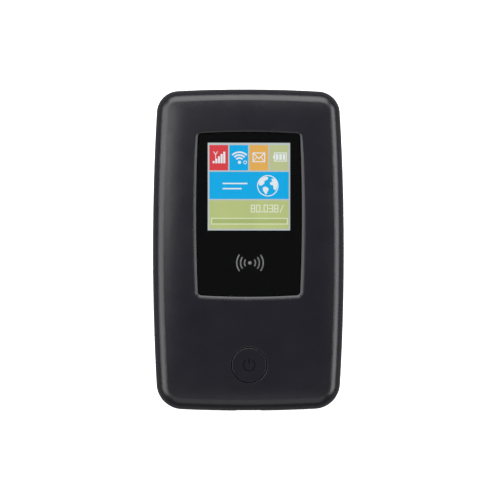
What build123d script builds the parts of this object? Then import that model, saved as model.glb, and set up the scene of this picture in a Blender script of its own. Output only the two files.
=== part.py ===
from build123d import *
import os
from math import pi, sin

os.makedirs("parts", exist_ok=True)

# A pocket-size mobile hotspot, lying on its back with the display up.
# X runs across the display, Y towards the end above the display, Z out of the display face.

# Case
length = 100.0  # overall, along Y
width = 59.5  # overall, across X
thickness = 15.0  # overall, at the top of the crown
side_bow = 1.6  # how far a long side bulges past its ends
end_bow = 0.9
top_corner_r = 6.9
bottom_corner_r = 8.1
crown_drop_x = 0.5  # even fall of the front face from its middle to a long side
crown_drop_y = 1.0  # the same to an end
side_roll = 2.0  # further fall, all of it near the long sides
side_roll_power = 7
end_roll = 1.5
end_roll_power = 12
crown_span = 1.03  # reach of the crown past the case
front_edge_r = 4.5
back_edge_r = 4.0
wall = 1.3
back_floor = 1.2
seam_gap = 0.1  # open line between the two covers
seam_round = 0.25

# Stack behind the front face, from the crown downwards
window_recess = 1.0
window_t = 1.0
mask_t = 0.15
ledge_t = 0.8
gasket_t = 0.3
panel_t = 1.1
tray_t = 1.2
tape_t = 0.25
board_t = 1.0
can_height = 1.6
plate_t = 0.8
stack_gap = 0.2  # air between stacked pieces that don't touch

# Display window and its recess
window_width = 32.6
window_top_margin = 13.55  # from the end of the case
window_bottom_margin = 35.6
window_side_bow = 0.55
window_end_bow = 0.5
window_corner_r = 1.2
window_fit = 0.1
window_edge = 0.15
bevel_height = 1.2
bevel_width = 1.5
bevel_cove = 1.4  # power of the cove: it starts shallow beside the window and steepens outwards
bevel_steps = 4
ledge_border = 1.6
aperture_corner_r = 1.0
screen_width = 25.3
screen_length = 26.9
screen_drop = 16.85  # from the top edge of the window to the middle of the screen
mask_margin = 0.1
aperture_margin = 1.45

# Display module
lcd_width = 31.0
lcd_length = 35.0
lcd_top_border = 2.2
lower_glass_t = 0.55
driver_ledge = 3.5  # strip of the lower glass that the upper glass leaves free
tray_border = 1.2
tray_corner_r = 0.6
light_guide_t = 0.75
light_guide_drop = 0.05  # below the rim of the tray
gasket_inset = 0.3
tape_inset = 1.0
tape_width = 3.0
flex_width = 12.0
flex_t = 0.15
connector_width = 14.0
connector_depth = 3.2
connector_height = 1.0
connector_fit = 0.2
connector_drop = 4.6  # from the lower edge of the display module
driver_width = 1.2
driver_t = 0.3
flex_bond = 1.4  # length held at each end
flex_drop = 1.3
flex_bend_r = 0.5

# Power button and its switch
button_from_bottom = 14.5
button_d = 10.6
button_gap = 0.2
rim_break = 0.3  # depth of the steep chamfer round the button hole
rim_break_width = 0.1
rim_slope = 1.9  # width over which the shallow chamfer runs out
button_flange_d = 12.4
button_flange_t = 0.6
button_post_d = 2.4
button_edge_r = 0.15
sign_d = 4.0
sign_stroke = 0.45
sign_depth = 0.2
sign_opening = 70.0  # degrees
sign_bar_low = 0.32  # lower end of the bar, above the middle of the sign
button_flange_drop = 0.3  # below the ceiling of the front cover
switch_size = 4.5
switch_height = 1.5
switch_floor = 0.3
plunger_d = 2.0
plunger_gap = 0.1
plunger_proud = 0.5
plunger_room = 0.45  # free travel under a plunger
switch_chamfer = 0.4

# Screws and their bosses
screw_head_round = 0.3
screw_cross_length = 1.7
screw_cross_width = 0.4
screw_cross_depth = 0.45
screw_side_margin = 6.25
screw_end_margin = 8.0
boss_d = 4.6
post_d = 5.2
boss_drop = 0.1  # lower end of a boss, above the rim of the frame
screw_d = 1.6
screw_fit = 0.05
screw_grip = 2.6  # length of thread inside a boss
screw_tip_room = 0.4
screw_head_d = 3.0
screw_head_t = 0.9
head_fit = 0.2
recess_depth = 1.0

# Chassis frame and main board
frame_fit = 0.15
rim_t = 1.4
rim_rise = 2.2  # from the floor of the back cover to the rim, posts and bay walls clear of its corner
rim_drop = 0.5  # from the underside of the board
board_inset = 0.9  # from the inside of the wall
board_top_margin = 10.8
boss_clearance = 0.4
support_d = 2.4
support_side_margin = 4.75
support_step = 30.0

# Battery and its bay
bay_side_margin = 7.0
bay_top_margin = 14.0
bay_bottom_margin = 20.0
bay_wall_t = 1.0
bay_wall_rise = 0.6
battery_fit = 0.3
battery_round = 1.2
end_cap_length = 3.0
terminal_count = 4
terminal_pitch = 2.2
terminal_width = 1.4
terminal_t = 0.2
terminal_recess = 0.3
terminal_margin = 0.6
terminal_x = -12.0
blade_width = 0.8
blade_margin = 0.4
blade_root = 1.2
blade_gap = 0.05  # between a blade and the battery
label_t = 0.05
label_margin = 3.0
label_trim = 14.0
label_shift = -2.0
label_corner_r = 1.0

# Snap tabs of the back cover
tab_width = 6.0
tab_t = 0.7
tab_reach = 1.4
tab_root = 1.6
tab_fit = 0.15
tab_bite = 0.3  # how far the root of a tab reaches into the wall
side_tab_step = 28.0
end_tab_x = 13.0
nail_notch_width = 12.0
nail_notch_height = 1.2

# Charging port
port_width = 7.5
port_height = 2.6
port_depth = 5.5
port_inset = 0.8  # mouth of the port, behind the end of the case
port_wall = 0.3
port_slot_fit = 0.35
slot_corner_r = 1.2
slot_flare = 0.3
tongue_width = 3.5
tongue_t = 0.6
tongue_length = 3.6
port_chamfer = 0.8
port_corner_r = 0.35
port_ear_reach = 1.5
port_ear_length = 2.0
port_ear_from_back = 1.5
tongue_block_width = 5.3
tongue_block_height = 1.2
tongue_block_depth = 0.8

# Card holders, shield cans and chips under the board
sheet_t = 0.25
holder_length = 14.5
holder_from_bay = 9.0  # from the lower end of the bay to the middle of the holders
holder_x = 11.0
sim_width = 17.0
memory_width = 14.0
holder_height = 1.5
holder_base_t = 0.5
holder_fit = 0.1
holder_window_margin = 0.5  # opening of the frame round a holder
holder_window_r = 1.0
thumb_width_share = 0.55  # of the width of the holder
thumb_depth_share = 0.3
holder_slit_width = 1.6
holder_slit_length = 3.6
holder_slit_r = 0.4
contact_columns = 4
contact_rows = 2
contact_pitch = 2.5
contact_width = 1.0
contact_length = 2.2
contact_rise = 0.2
contact_gap = 0.1  # round a contact, in its window
can_width = 34.0
radio_can_length = 12.0
radio_can_from_bay = 3.2  # from the upper end of the bay
can_spacing = 2.0
modem_can_spacing = 1.5  # from the card holders
can_corner_r = 0.9
vent_columns = 9
vent_rows = 3
vent_pitch = 3.2
vent_d = 1.1
chip_height = 1.1
pin_mark_inset = 1.0
pin_mark_r = 0.3
pin_mark_depth = 0.1
modem_chip_size = (12.0, 12.0)
modem_chip_x = -8.5
memory_chip_size = (11.5, 10.0)
memory_chip_x = 7.5
radio_chip_size = (6.0, 6.0)
radio_chip_places_x = (-11.0, -1.0, 10.0)
power_chip_size = (6.0, 5.0)
power_chip_x = 1.0
power_chip_from_bottom = 13.0
modem_component_count = 5
radio_component_count = 4
component_pitch = 2.6
component_width = 0.8
component_length = 1.6
component_t = 0.6
component_spacing = 1.2  # from a shield can to the middle of the row

# Antennas
antenna_near_margin = 10.2
antenna_rim_gap = 0.35
antenna_side_gap = 5.0
platform_t = 1.0
copper_t = 0.1
feed_width = 1.6
feed_x = 6.0
wifi_low_x = 8.0
feed_tab = 2.4
feed_slot = 0.45
feed_standoff = 0.2
pattern_margin = 0.5  # of the pattern, inside the ends of its platform
slit_width = 1.2  # long slit of the pattern
slit_end = 2.0
slit_shift = 1.5
slit_from_near = 2.6
notch_width = 0.8
notch_length = 2.6
notch_from_near = 1.4
clip_t = 0.15
clip_width = 1.2
clip_length = 1.4
clip_tip = 0.5
clip_bend_r = 0.35
clip_from_near = 1.6

# Battery connector and reset switch
connector_body_depth = 3.1
connector_margin = 0.2  # beyond the outer terminals
reset_x = -16.0
reset_from_bottom = 14.0
reset_hole_d = 1.8
reset_size = 3.6
reset_chamfer = 0.3
reset_height = 1.4
reset_plunger_d = 1.2
reset_proud = 0.3

# Levels
window_top_z = thickness - window_recess
mask_top_z = window_top_z - window_t
ledge_top_z = mask_top_z - mask_t
ledge_bottom_z = ledge_top_z - ledge_t
panel_top_z = ledge_bottom_z - gasket_t
tray_top_z = panel_top_z - panel_t
tape_top_z = tray_top_z - tray_t
board_top_z = tape_top_z - tape_t
board_bottom_z = board_top_z - board_t
can_bottom_z = board_bottom_z - can_height
plate_top_z = can_bottom_z - stack_gap
plate_bottom_z = plate_top_z - plate_t
battery_top_z = plate_bottom_z - stack_gap
battery_bottom_z = back_floor + stack_gap
battery_t = battery_top_z - battery_bottom_z
battery_mid_z = (battery_top_z + battery_bottom_z) / 2
parting_z = plate_bottom_z + plate_t / 2
rim_bottom_z = back_floor + rim_rise
rim_top_z = board_bottom_z - rim_drop
tab_notch_z = min(rim_bottom_z, plate_bottom_z)  # the notches run through both the rim and the plate
boss_bottom_z = rim_top_z + boss_drop
bay_wall_bottom_z = back_floor + bay_wall_rise

# Places in plan
window_top_y = length / 2 - window_top_margin
window_bottom_y = -length / 2 + window_bottom_margin
screen_y = window_top_y - screen_drop
lcd_top_y = screen_y + screen_length / 2 + lcd_top_border
lcd_bottom_y = lcd_top_y - lcd_length
connector_y = lcd_bottom_y - connector_drop
button_y = -length / 2 + button_from_bottom
screw_x = width / 2 - screw_side_margin
screw_y = length / 2 - screw_end_margin
screw_places = [(x, y) for x in (-screw_x, screw_x) for y in (-screw_y, screw_y)]
support_x = width / 2 - support_side_margin
bay_width = width - 2 * bay_side_margin
bay_top_y = length / 2 - bay_top_margin
bay_bottom_y = -length / 2 + bay_bottom_margin
bay_y = (bay_top_y + bay_bottom_y) / 2
bay_length = bay_top_y - bay_bottom_y
holder_y = bay_bottom_y + holder_from_bay
radio_can_y = bay_top_y - radio_can_from_bay - radio_can_length / 2
modem_can_low_y = holder_y + holder_length / 2 + modem_can_spacing
modem_can_high_y = radio_can_y - radio_can_length / 2 - can_spacing
modem_can_length = modem_can_high_y - modem_can_low_y
modem_can_y = (modem_can_high_y + modem_can_low_y) / 2
antenna_x = screw_x - antenna_side_gap
antenna_far_margin = wall + frame_fit + rim_t + antenna_rim_gap
wifi_feed_x = (wifi_low_x + antenna_x) / 2
reset_place = (reset_x, -length / 2 + reset_from_bottom)
port_mouth_y = -length / 2 + port_inset
port_z = (board_top_z + board_bottom_z) / 2
slot_width = port_width + 2 * port_slot_fit
slot_height = port_height + 2 * port_slot_fit
connector_length = terminal_count * terminal_pitch + 2 * connector_margin
terminal_low_x = terminal_x - (terminal_count - 1) / 2 * terminal_pitch
terminal_places = [terminal_low_x + i * terminal_pitch for i in range(terminal_count)]


def bowed_rectangle(half_width, low_y, high_y, bow, bow_end, low_r, high_r, grow):
    """A rectangle whose four sides are shallow arcs, with rounded corners, drawn larger by grow."""
    mid_y = (low_y + high_y) / 2
    side_r = (((high_y - low_y) / 2 - bow_end) ** 2 + bow**2) / (2 * bow)
    end_r = ((half_width - bow) ** 2 + bow_end**2) / (2 * bow_end)
    with BuildSketch() as plan:
        with Locations(Location((half_width - side_r, mid_y, 0), (0, 0, 180))):
            Circle(side_r + grow)
        with Locations((side_r - half_width, mid_y)):
            Circle(side_r + grow, mode=Mode.INTERSECT)
        with Locations((0, high_y - end_r)):
            Circle(end_r + grow, mode=Mode.INTERSECT)
        with Locations((0, low_y + end_r)):
            Circle(end_r + grow, mode=Mode.INTERSECT)
        fillet(plan.vertices().group_by(Axis.Y)[0], low_r + grow)
        fillet(plan.vertices().group_by(Axis.Y)[-1], high_r + grow)
    return plan.sketch


def case_outline(inset):
    """Plan of the case, drawn inset inside its outer surface."""
    half_width = width / 2
    half_length = length / 2
    return bowed_rectangle(
        half_width, -half_length, half_length, side_bow, end_bow, bottom_corner_r, top_corner_r, -inset
    )


def window_outline(grow):
    """Plan of the display window, drawn larger by grow."""
    half_width = window_width / 2
    return bowed_rectangle(
        half_width,
        window_bottom_y,
        window_top_y,
        window_side_bow,
        window_end_bow,
        window_corner_r,
        window_corner_r,
        grow,
    )


def tab_plan(outer_inset, inner_inset, tab_span):
    """Plan of the snap tabs: short stretches of a band that follows the case outline."""
    with BuildSketch() as strips:
        with Locations((0, -side_tab_step), (0, 0), (0, side_tab_step)):
            Rectangle(2 * width, tab_span)
        with Locations((-end_tab_x, 0), (end_tab_x, 0)):
            Rectangle(tab_span, 2 * length)
    with BuildSketch() as plan:
        add(case_outline(outer_inset))
        add(case_outline(inner_inset), mode=Mode.SUBTRACT)
        add(strips.sketch, mode=Mode.INTERSECT)
    return plan.sketch


# Space above the front face. The face is a shallow crown that rolls over more and more quickly
# towards the sides and ends, until the rounded edge takes over.
def fall_across(x):
    """How far the front face has fallen at a distance x from its middle line."""
    share = 2 * abs(x) / width
    return crown_drop_x * share**2 + side_roll * share**side_roll_power


def fall_along(y):
    """The same towards the ends."""
    share = 2 * abs(y) / length
    return crown_drop_y * share**2 + end_roll * share**end_roll_power


def crown_z(x, y):
    """Height of the front face above a point."""
    return thickness - fall_across(x) - fall_along(y)


def stations(half_span, count):
    """Stations from -half_span to half_span, closer together towards the ends."""
    return [half_span * sin(pi / 2 * i / count) for i in range(-count, count + 1)]


stations_x = stations(crown_span * width / 2, 8)
with BuildPart() as above_crown:
    for station_y in stations(crown_span * length / 2, 8):
        with BuildSketch(Plane.XZ.offset(-station_y)):
            with BuildLine():
                crown_edge = Spline(*[(x, crown_z(x, station_y)) for x in stations_x])
                Polyline(
                    crown_edge @ 1,
                    (stations_x[-1], 2 * thickness),
                    (stations_x[0], 2 * thickness),
                    crown_edge @ 0,
                )
            make_face()
    loft()


# The button sits where the crown leans a little towards the lower end, and follows that lean.
button_reach = button_d / 2
button_lean = (crown_z(0, button_y + button_reach) - crown_z(0, button_y - button_reach)) / button_d
button_spot = (0, button_y, crown_z(0, button_y))
button_normal = (0, -button_lean, 1)
button_plane = Plane(origin=button_spot, x_dir=(1, 0, 0), z_dir=button_normal)
button_section = Plane(origin=button_spot, x_dir=(1, 0, 0), z_dir=(0, -1, -button_lean))
hole_r = button_d / 2 + button_gap

# Hollow of the front cover, less the ledge behind the window and the screw bosses, which stay solid.
with BuildPart() as front_hollow:
    with BuildSketch(Plane.XY.offset(parting_z - wall)):
        add(case_outline(wall))
    extrude(amount=thickness)
    add(above_crown.part.moved(Location((0, 0, -wall))), mode=Mode.SUBTRACT)
    fillet(front_hollow.faces().sort_by(Axis.Z)[-1].edges(), front_edge_r - wall)
    with BuildSketch(Plane.XY.offset(ledge_bottom_z)):
        add(window_outline(ledge_border))
    extrude(amount=thickness, mode=Mode.SUBTRACT)
    with BuildSketch(Plane.XY.offset(boss_bottom_z)):
        with Locations(*screw_places):
            Circle(boss_d / 2)
    extrude(amount=thickness, mode=Mode.SUBTRACT)

# Front cover: moulded shell with the window recess, button hole and the slot of the charging port.
with BuildPart() as front_cover:
    with BuildSketch(Plane.XY.offset(parting_z)):
        add(case_outline(0))
    extrude(amount=thickness)
    add(above_crown.part, mode=Mode.SUBTRACT)
    fillet(front_cover.faces().sort_by(Axis.Z)[-1].edges(), front_edge_r)
    fillet(front_cover.faces().sort_by(Axis.Z)[0].edges(), seam_round)
    add(front_hollow.part, mode=Mode.SUBTRACT)
    # window recess: a straight seat below a coved bevel
    with BuildSketch(Plane.XY.offset(ledge_top_z)):
        add(window_outline(window_fit))
    extrude(amount=window_t + mask_t, mode=Mode.SUBTRACT)
    for step in range(bevel_steps + 1):
        share = step / bevel_steps
        with BuildSketch(Plane.XY.offset(window_top_z + bevel_height * share**bevel_cove)):
            add(window_outline(window_fit + bevel_width * share))
    loft(ruled=True, mode=Mode.SUBTRACT)
    with BuildSketch(Plane.XY.offset(ledge_bottom_z)):
        with Locations((0, screen_y)):
            RectangleRounded(
                screen_width + 2 * aperture_margin, screen_length + 2 * aperture_margin, aperture_corner_r
            )
    extrude(amount=ledge_t, mode=Mode.SUBTRACT)
    # button hole, its rim broken by a steep and a shallow chamfer
    with BuildSketch(button_section):
        with BuildLine():
            Polyline(
                (0, wall),
                (0, -front_edge_r),
                (hole_r, -front_edge_r),
                (hole_r, -rim_break),
                (hole_r + rim_break_width, -rim_break_width),
                (hole_r + rim_slope, rim_break),
                (hole_r + rim_slope, wall),
                close=True,
            )
        make_face()
    revolve(axis=Axis(button_spot, button_normal), mode=Mode.SUBTRACT)
    # charging port slot and its flared mouth
    with BuildSketch(Plane.XZ.offset(length / 2 - 3 * wall)):
        with Locations((0, port_z)):
            RectangleRounded(slot_width, slot_height, slot_corner_r)
    extrude(amount=4 * wall, mode=Mode.SUBTRACT)
    with BuildSketch(Plane.XZ.offset(length / 2 - slot_flare)):
        with Locations((0, port_z)):
            RectangleRounded(slot_width, slot_height, slot_corner_r)
    with BuildSketch(Plane.XZ.offset(length / 2 + slot_flare)):
        with Locations((0, port_z)):
            RectangleRounded(slot_width + 4 * slot_flare, slot_height + 4 * slot_flare, slot_corner_r)
    loft(ruled=True, mode=Mode.SUBTRACT)
    # screw holes in the bosses
    with BuildSketch(Plane.XY.offset(boss_bottom_z)):
        with Locations(*screw_places):
            Circle(screw_d / 2 + screw_fit)
    extrude(amount=screw_grip + screw_tip_room, mode=Mode.SUBTRACT)
front_cover.part.label = "front_cover"
export_step(front_cover.part, "parts/front_cover.step")

# Display window: clear acrylic plate, its upper edge broken.
with BuildPart() as display_window:
    with BuildSketch(Plane.XY.offset(mask_top_z)):
        add(window_outline(0))
    extrude(amount=window_t)
    chamfer(display_window.faces().sort_by(Axis.Z)[-1].edges(), window_edge)
display_window.part.label = "display_window"
export_step(display_window.part, "parts/display_window.step")

# Window mask: black adhesive film under the window, open over the screen.
with BuildPart() as window_mask:
    with BuildSketch(Plane.XY.offset(ledge_top_z)):
        add(window_outline(-window_fit))
        with Locations((0, screen_y)):
            Rectangle(screen_width + 2 * mask_margin, screen_length + 2 * mask_margin, mode=Mode.SUBTRACT)
    extrude(amount=mask_t)
window_mask.part.label = "window_mask"
export_step(window_mask.part, "parts/window_mask.step")

# Power button: cap that follows the face, with a retaining flange and a post down to the switch.
button_flange_z = crown_z(button_flange_d / 2, button_y - button_flange_d / 2) - wall - button_flange_drop
plunger_top_z = board_top_z + switch_height + plunger_proud
with BuildPart() as power_button:
    with BuildSketch(Plane.XY.offset(button_flange_z)):
        with Locations((0, button_y)):
            Circle(button_d / 2)
    extrude(amount=thickness)
    split(bisect_by=button_plane, keep=Keep.BOTTOM)
    fillet(power_button.faces().sort_by(Axis.Z)[-1].edges(), button_edge_r)
    with BuildSketch(Plane.XY.offset(button_flange_z - button_flange_t)):
        with Locations((0, button_y)):
            Circle(button_flange_d / 2)
    extrude(amount=button_flange_t)
    with BuildSketch(Plane.XY.offset(plunger_top_z)):
        with Locations((0, button_y)):
            Circle(button_post_d / 2)
    extrude(amount=button_flange_z - plunger_top_z)
    # engraved power sign: an open ring and a bar
    with BuildSketch(button_plane):
        with BuildLine():
            CenterArc((0, 0), (sign_d - sign_stroke) / 2, 90 + sign_opening / 2, 360 - sign_opening)
        trace(line_width=sign_stroke)
        with BuildLine():
            Line((0, sign_bar_low), (0, sign_d / 2))
        trace(line_width=sign_stroke)
    extrude(amount=-sign_depth, mode=Mode.SUBTRACT)
power_button.part.label = "power_button"
export_step(power_button.part, "parts/power_button.step")

# Chassis frame: plate between board and battery, with a rim that locates both covers.
frame_inset = wall + frame_fit
with BuildPart() as mid_frame:
    with BuildSketch(Plane.XY.offset(plate_bottom_z)):
        add(case_outline(frame_inset))
    extrude(amount=plate_t)
    with BuildSketch(Plane.XY.offset(rim_bottom_z)):
        add(case_outline(frame_inset))
        add(case_outline(frame_inset + rim_t), mode=Mode.SUBTRACT)
    extrude(amount=rim_top_z - rim_bottom_z)
    # walls of the battery bay
    with BuildSketch(Plane.XY.offset(bay_wall_bottom_z)):
        with Locations((0, bay_y)):
            Rectangle(bay_width + 2 * bay_wall_t, bay_length + 2 * bay_wall_t)
            Rectangle(bay_width, bay_length, mode=Mode.SUBTRACT)
    extrude(amount=plate_bottom_z - bay_wall_bottom_z)
    # screw posts, up to the bosses of the front cover
    with BuildSketch(Plane.XY.offset(rim_bottom_z)):
        with Locations(*screw_places):
            Circle(post_d / 2)
    extrude(amount=boss_bottom_z - rim_bottom_z)
    # supports of the main board
    with BuildSketch(Plane.XY.offset(plate_top_z)):
        with GridLocations(2 * support_x, support_step, 2, 3):
            Circle(support_d / 2)
    extrude(amount=board_bottom_z - plate_top_z)
    # antenna platforms at both ends
    with BuildSketch(Plane.XY.offset(plate_bottom_z - platform_t)):
        for low_x, high_x, end in ((-antenna_x, antenna_x, 1), (wifi_low_x, antenna_x, -1)):
            near_y = end * (length / 2 - antenna_near_margin)
            far_y = end * (length / 2 - antenna_far_margin)
            with Locations(((low_x + high_x) / 2, (near_y + far_y) / 2)):
                Rectangle(high_x - low_x, abs(far_y - near_y))
    extrude(amount=platform_t)
    # screw holes with recesses for the heads
    with BuildSketch(Plane.XY.offset(back_floor)):
        with Locations(*screw_places):
            Circle(screw_d / 2 + head_fit / 2)
    extrude(amount=thickness, mode=Mode.SUBTRACT)
    with BuildSketch(Plane.XY.offset(back_floor)):
        with Locations(*screw_places):
            Circle(screw_head_d / 2 + head_fit)
    extrude(amount=rim_bottom_z + recess_depth - back_floor, mode=Mode.SUBTRACT)
    # openings in the plate: card holders, reset switch, antenna feeds
    with BuildSketch(Plane.XY.offset(plate_bottom_z)):
        with Locations((-holder_x, holder_y), (holder_x, holder_y)):
            RectangleRounded(
                sim_width + 2 * holder_window_margin,
                holder_length + 2 * holder_window_margin,
                holder_window_r,
            )
        with Locations(reset_place):
            Circle(reset_hole_d / 2)
        for feed_places, end in (((-feed_x, feed_x), 1), ((wifi_feed_x,), -1)):
            for place_x in feed_places:
                with Locations((place_x, end * (length / 2 - antenna_near_margin - feed_slot / 2))):
                    Rectangle(feed_width + 2 * tab_fit, feed_slot)
    extrude(amount=plate_t, mode=Mode.SUBTRACT)
    # battery connector, charging port and snap tabs
    with BuildSketch(Plane.XY.offset(bay_wall_bottom_z)):
        with Locations((terminal_x, bay_top_y + connector_body_depth / 2)):
            Rectangle(connector_length + 2 * tab_fit, connector_body_depth + 2 * tab_fit)
    extrude(amount=plate_top_z - bay_wall_bottom_z, mode=Mode.SUBTRACT)
    with BuildSketch(Plane.XY.offset(port_z - port_height / 2 - stack_gap)):
        with Locations((0, -length / 2 + frame_inset + rim_t / 2)):
            Rectangle(port_width + 2 * port_slot_fit, 2 * rim_t)
    extrude(amount=port_height, mode=Mode.SUBTRACT)
    with BuildSketch(Plane.XY.offset(tab_notch_z)):
        add(tab_plan(wall, wall + tab_fit / 2 + tab_t + tab_fit, tab_width + 2 * tab_fit))
    extrude(amount=thickness, mode=Mode.SUBTRACT)
mid_frame.part.label = "mid_frame"
export_step(mid_frame.part, "parts/mid_frame.step")

# Back cover: shallow tray with snap tabs that reach up into the frame, and a fingernail notch.
back_r = min(back_edge_r, parting_z - seam_gap - 2 * seam_round)
with BuildPart() as back_hollow:
    with BuildSketch(Plane.XY.offset(back_floor)):
        add(case_outline(wall))
    extrude(amount=thickness)
    fillet(back_hollow.faces().sort_by(Axis.Z)[0].edges(), back_r - back_floor)
with BuildPart() as back_cover:
    with BuildSketch():
        add(case_outline(0))
    extrude(amount=parting_z - seam_gap)
    fillet(back_cover.faces().sort_by(Axis.Z)[0].edges(), back_r)
    fillet(back_cover.faces().sort_by(Axis.Z)[-1].edges(), seam_round)
    add(back_hollow.part, mode=Mode.SUBTRACT)
    with BuildSketch(Plane.XY.offset(parting_z - tab_root)):
        add(tab_plan(wall - tab_bite, wall + tab_fit / 2 + tab_t, tab_width))
    extrude(amount=tab_root - seam_gap - seam_round)
    with BuildSketch(Plane.XY.offset(parting_z - seam_gap - seam_round)):
        add(tab_plan(wall + tab_fit / 2, wall + tab_fit / 2 + tab_t, tab_width))
    extrude(amount=tab_reach + seam_gap + seam_round)
    with BuildSketch(Plane.XY.offset(parting_z - seam_gap - nail_notch_height)):
        with Locations((0, -length / 2)):
            Rectangle(nail_notch_width, 3 * wall)
    extrude(amount=nail_notch_height, mode=Mode.SUBTRACT)
back_cover.part.label = "back_cover"
export_step(back_cover.part, "parts/back_cover.step")

# Case screws: cross-recess pan heads, from the battery side into the front cover.
head_top_z = rim_bottom_z + recess_depth
with BuildPart() as case_screws:
    with BuildSketch(Plane.XY.offset(head_top_z - screw_head_t)):
        with Locations(*screw_places):
            Circle(screw_head_d / 2)
    extrude(amount=screw_head_t)
    fillet(case_screws.faces().group_by(Axis.Z)[0].edges(), screw_head_round)
    with BuildSketch(Plane.XY.offset(head_top_z)):
        with Locations(*screw_places):
            Circle(screw_d / 2)
    extrude(amount=boss_bottom_z + screw_grip - head_top_z)
    with BuildSketch(Plane.XY.offset(head_top_z - screw_head_t)):
        with Locations(*screw_places):
            Rectangle(screw_cross_length, screw_cross_width)
            Rectangle(screw_cross_width, screw_cross_length)
    extrude(amount=screw_cross_depth, mode=Mode.SUBTRACT)
case_screws.part.label = "case_screws"
export_step(case_screws.part, "parts/case_screws.step")

# Display gasket: foam ring between the ledge and the glass.
with BuildPart() as lcd_gasket:
    with BuildSketch(Plane.XY.offset(panel_top_z)):
        with Locations((0, screen_y)):
            Rectangle(lcd_width - 2 * gasket_inset, screen_length + 2 * lcd_top_border - 2 * gasket_inset)
            Rectangle(
                screen_width + 2 * aperture_margin, screen_length + 2 * aperture_margin, mode=Mode.SUBTRACT
            )
    extrude(amount=gasket_t)
lcd_gasket.part.label = "lcd_gasket"
export_step(lcd_gasket.part, "parts/lcd_gasket.step")

# Display glass: two sheets, the lower one left free along one end for the driver and the flex.
lcd_y = (lcd_top_y + lcd_bottom_y) / 2
with BuildPart() as lcd_panel:
    with BuildSketch(Plane.XY.offset(tray_top_z)):
        with Locations((0, lcd_y)):
            Rectangle(lcd_width, lcd_length)
    extrude(amount=lower_glass_t)
    with BuildSketch(Plane.XY.offset(tray_top_z + lower_glass_t)):
        with Locations((0, lcd_y + driver_ledge / 2)):
            Rectangle(lcd_width, lcd_length - driver_ledge)
    extrude(amount=panel_t - lower_glass_t)
lcd_panel.part.label = "lcd_panel"
export_step(lcd_panel.part, "parts/lcd_panel.step")

# Driver chip bonded to the free strip of the lower glass.
driver_z = tray_top_z + lower_glass_t
with BuildPart() as lcd_driver_chip:
    with BuildSketch(Plane.XY.offset(driver_z)):
        with Locations((0, lcd_bottom_y + driver_ledge - driver_width)):
            Rectangle(flex_width, driver_width)
    extrude(amount=driver_t)
lcd_driver_chip.part.label = "lcd_driver_chip"
export_step(lcd_driver_chip.part, "parts/lcd_driver_chip.step")

# Backlight tray and the light guide that lies in it.
with BuildPart() as lcd_tray:
    with BuildSketch(Plane.XY.offset(tape_top_z)):
        with Locations((0, lcd_y)):
            RectangleRounded(lcd_width, lcd_length, tray_corner_r)
    extrude(amount=tray_t)
    with BuildSketch(Plane.XY.offset(tray_top_z - light_guide_t)):
        with Locations((0, lcd_y)):
            Rectangle(lcd_width - 2 * tray_border, lcd_length - 2 * tray_border)
    extrude(amount=light_guide_t, mode=Mode.SUBTRACT)
lcd_tray.part.label = "lcd_tray"
export_step(lcd_tray.part, "parts/lcd_tray.step")

with BuildPart() as lcd_light_guide:
    with BuildSketch(Plane.XY.offset(tray_top_z - light_guide_t)):
        with Locations((0, lcd_y)):
            Rectangle(lcd_width - 2 * tray_border - stack_gap, lcd_length - 2 * tray_border - stack_gap)
    extrude(amount=light_guide_t - light_guide_drop)
lcd_light_guide.part.label = "lcd_light_guide"
export_step(lcd_light_guide.part, "parts/lcd_light_guide.step")

# Foam tape that holds the display module to the board.
tape_hole_inset = tape_inset + tape_width
with BuildPart() as lcd_tape:
    with BuildSketch(Plane.XY.offset(board_top_z)):
        with Locations((0, lcd_y)):
            Rectangle(lcd_width - 2 * tape_inset, lcd_length - 2 * tape_inset)
            Rectangle(lcd_width - 2 * tape_hole_inset, lcd_length - 2 * tape_hole_inset, mode=Mode.SUBTRACT)
    extrude(amount=tape_t)
lcd_tape.part.label = "lcd_tape"
export_step(lcd_tape.part, "parts/lcd_tape.step")

# Display flex: from the free glass strip, over the edge and down into its connector.
flex_low_z = board_top_z + connector_height / 2
flex_high_z = driver_z + flex_t / 2
with BuildPart() as lcd_flex:
    with BuildSketch(Plane.YZ.offset(-flex_width / 2)):
        with BuildLine():
            FilletPolyline(
                (lcd_bottom_y + flex_bond, flex_high_z),
                (lcd_bottom_y - flex_drop, flex_high_z),
                (lcd_bottom_y - 2 * flex_drop, flex_low_z),
                (connector_y - connector_depth / 2 + flex_bond, flex_low_z),
                radius=flex_bend_r,
            )
        trace(line_width=flex_t)
    extrude(amount=flex_width)
lcd_flex.part.label = "lcd_flex"
export_step(lcd_flex.part, "parts/lcd_flex.step")

with BuildPart() as lcd_connector:
    with BuildSketch(Plane.XY.offset(board_top_z)):
        with Locations((0, connector_y)):
            Rectangle(connector_width, connector_depth)
    extrude(amount=connector_height)
    with BuildSketch(Plane.XY.offset(flex_low_z - flex_t)):
        with Locations((0, connector_y + connector_depth / 2)):
            Rectangle(flex_width + 2 * connector_fit, 2 * (connector_depth - flex_bond) + connector_fit)
    extrude(amount=2 * flex_t, mode=Mode.SUBTRACT)
lcd_connector.part.label = "lcd_connector"
export_step(lcd_connector.part, "parts/lcd_connector.step")

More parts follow.
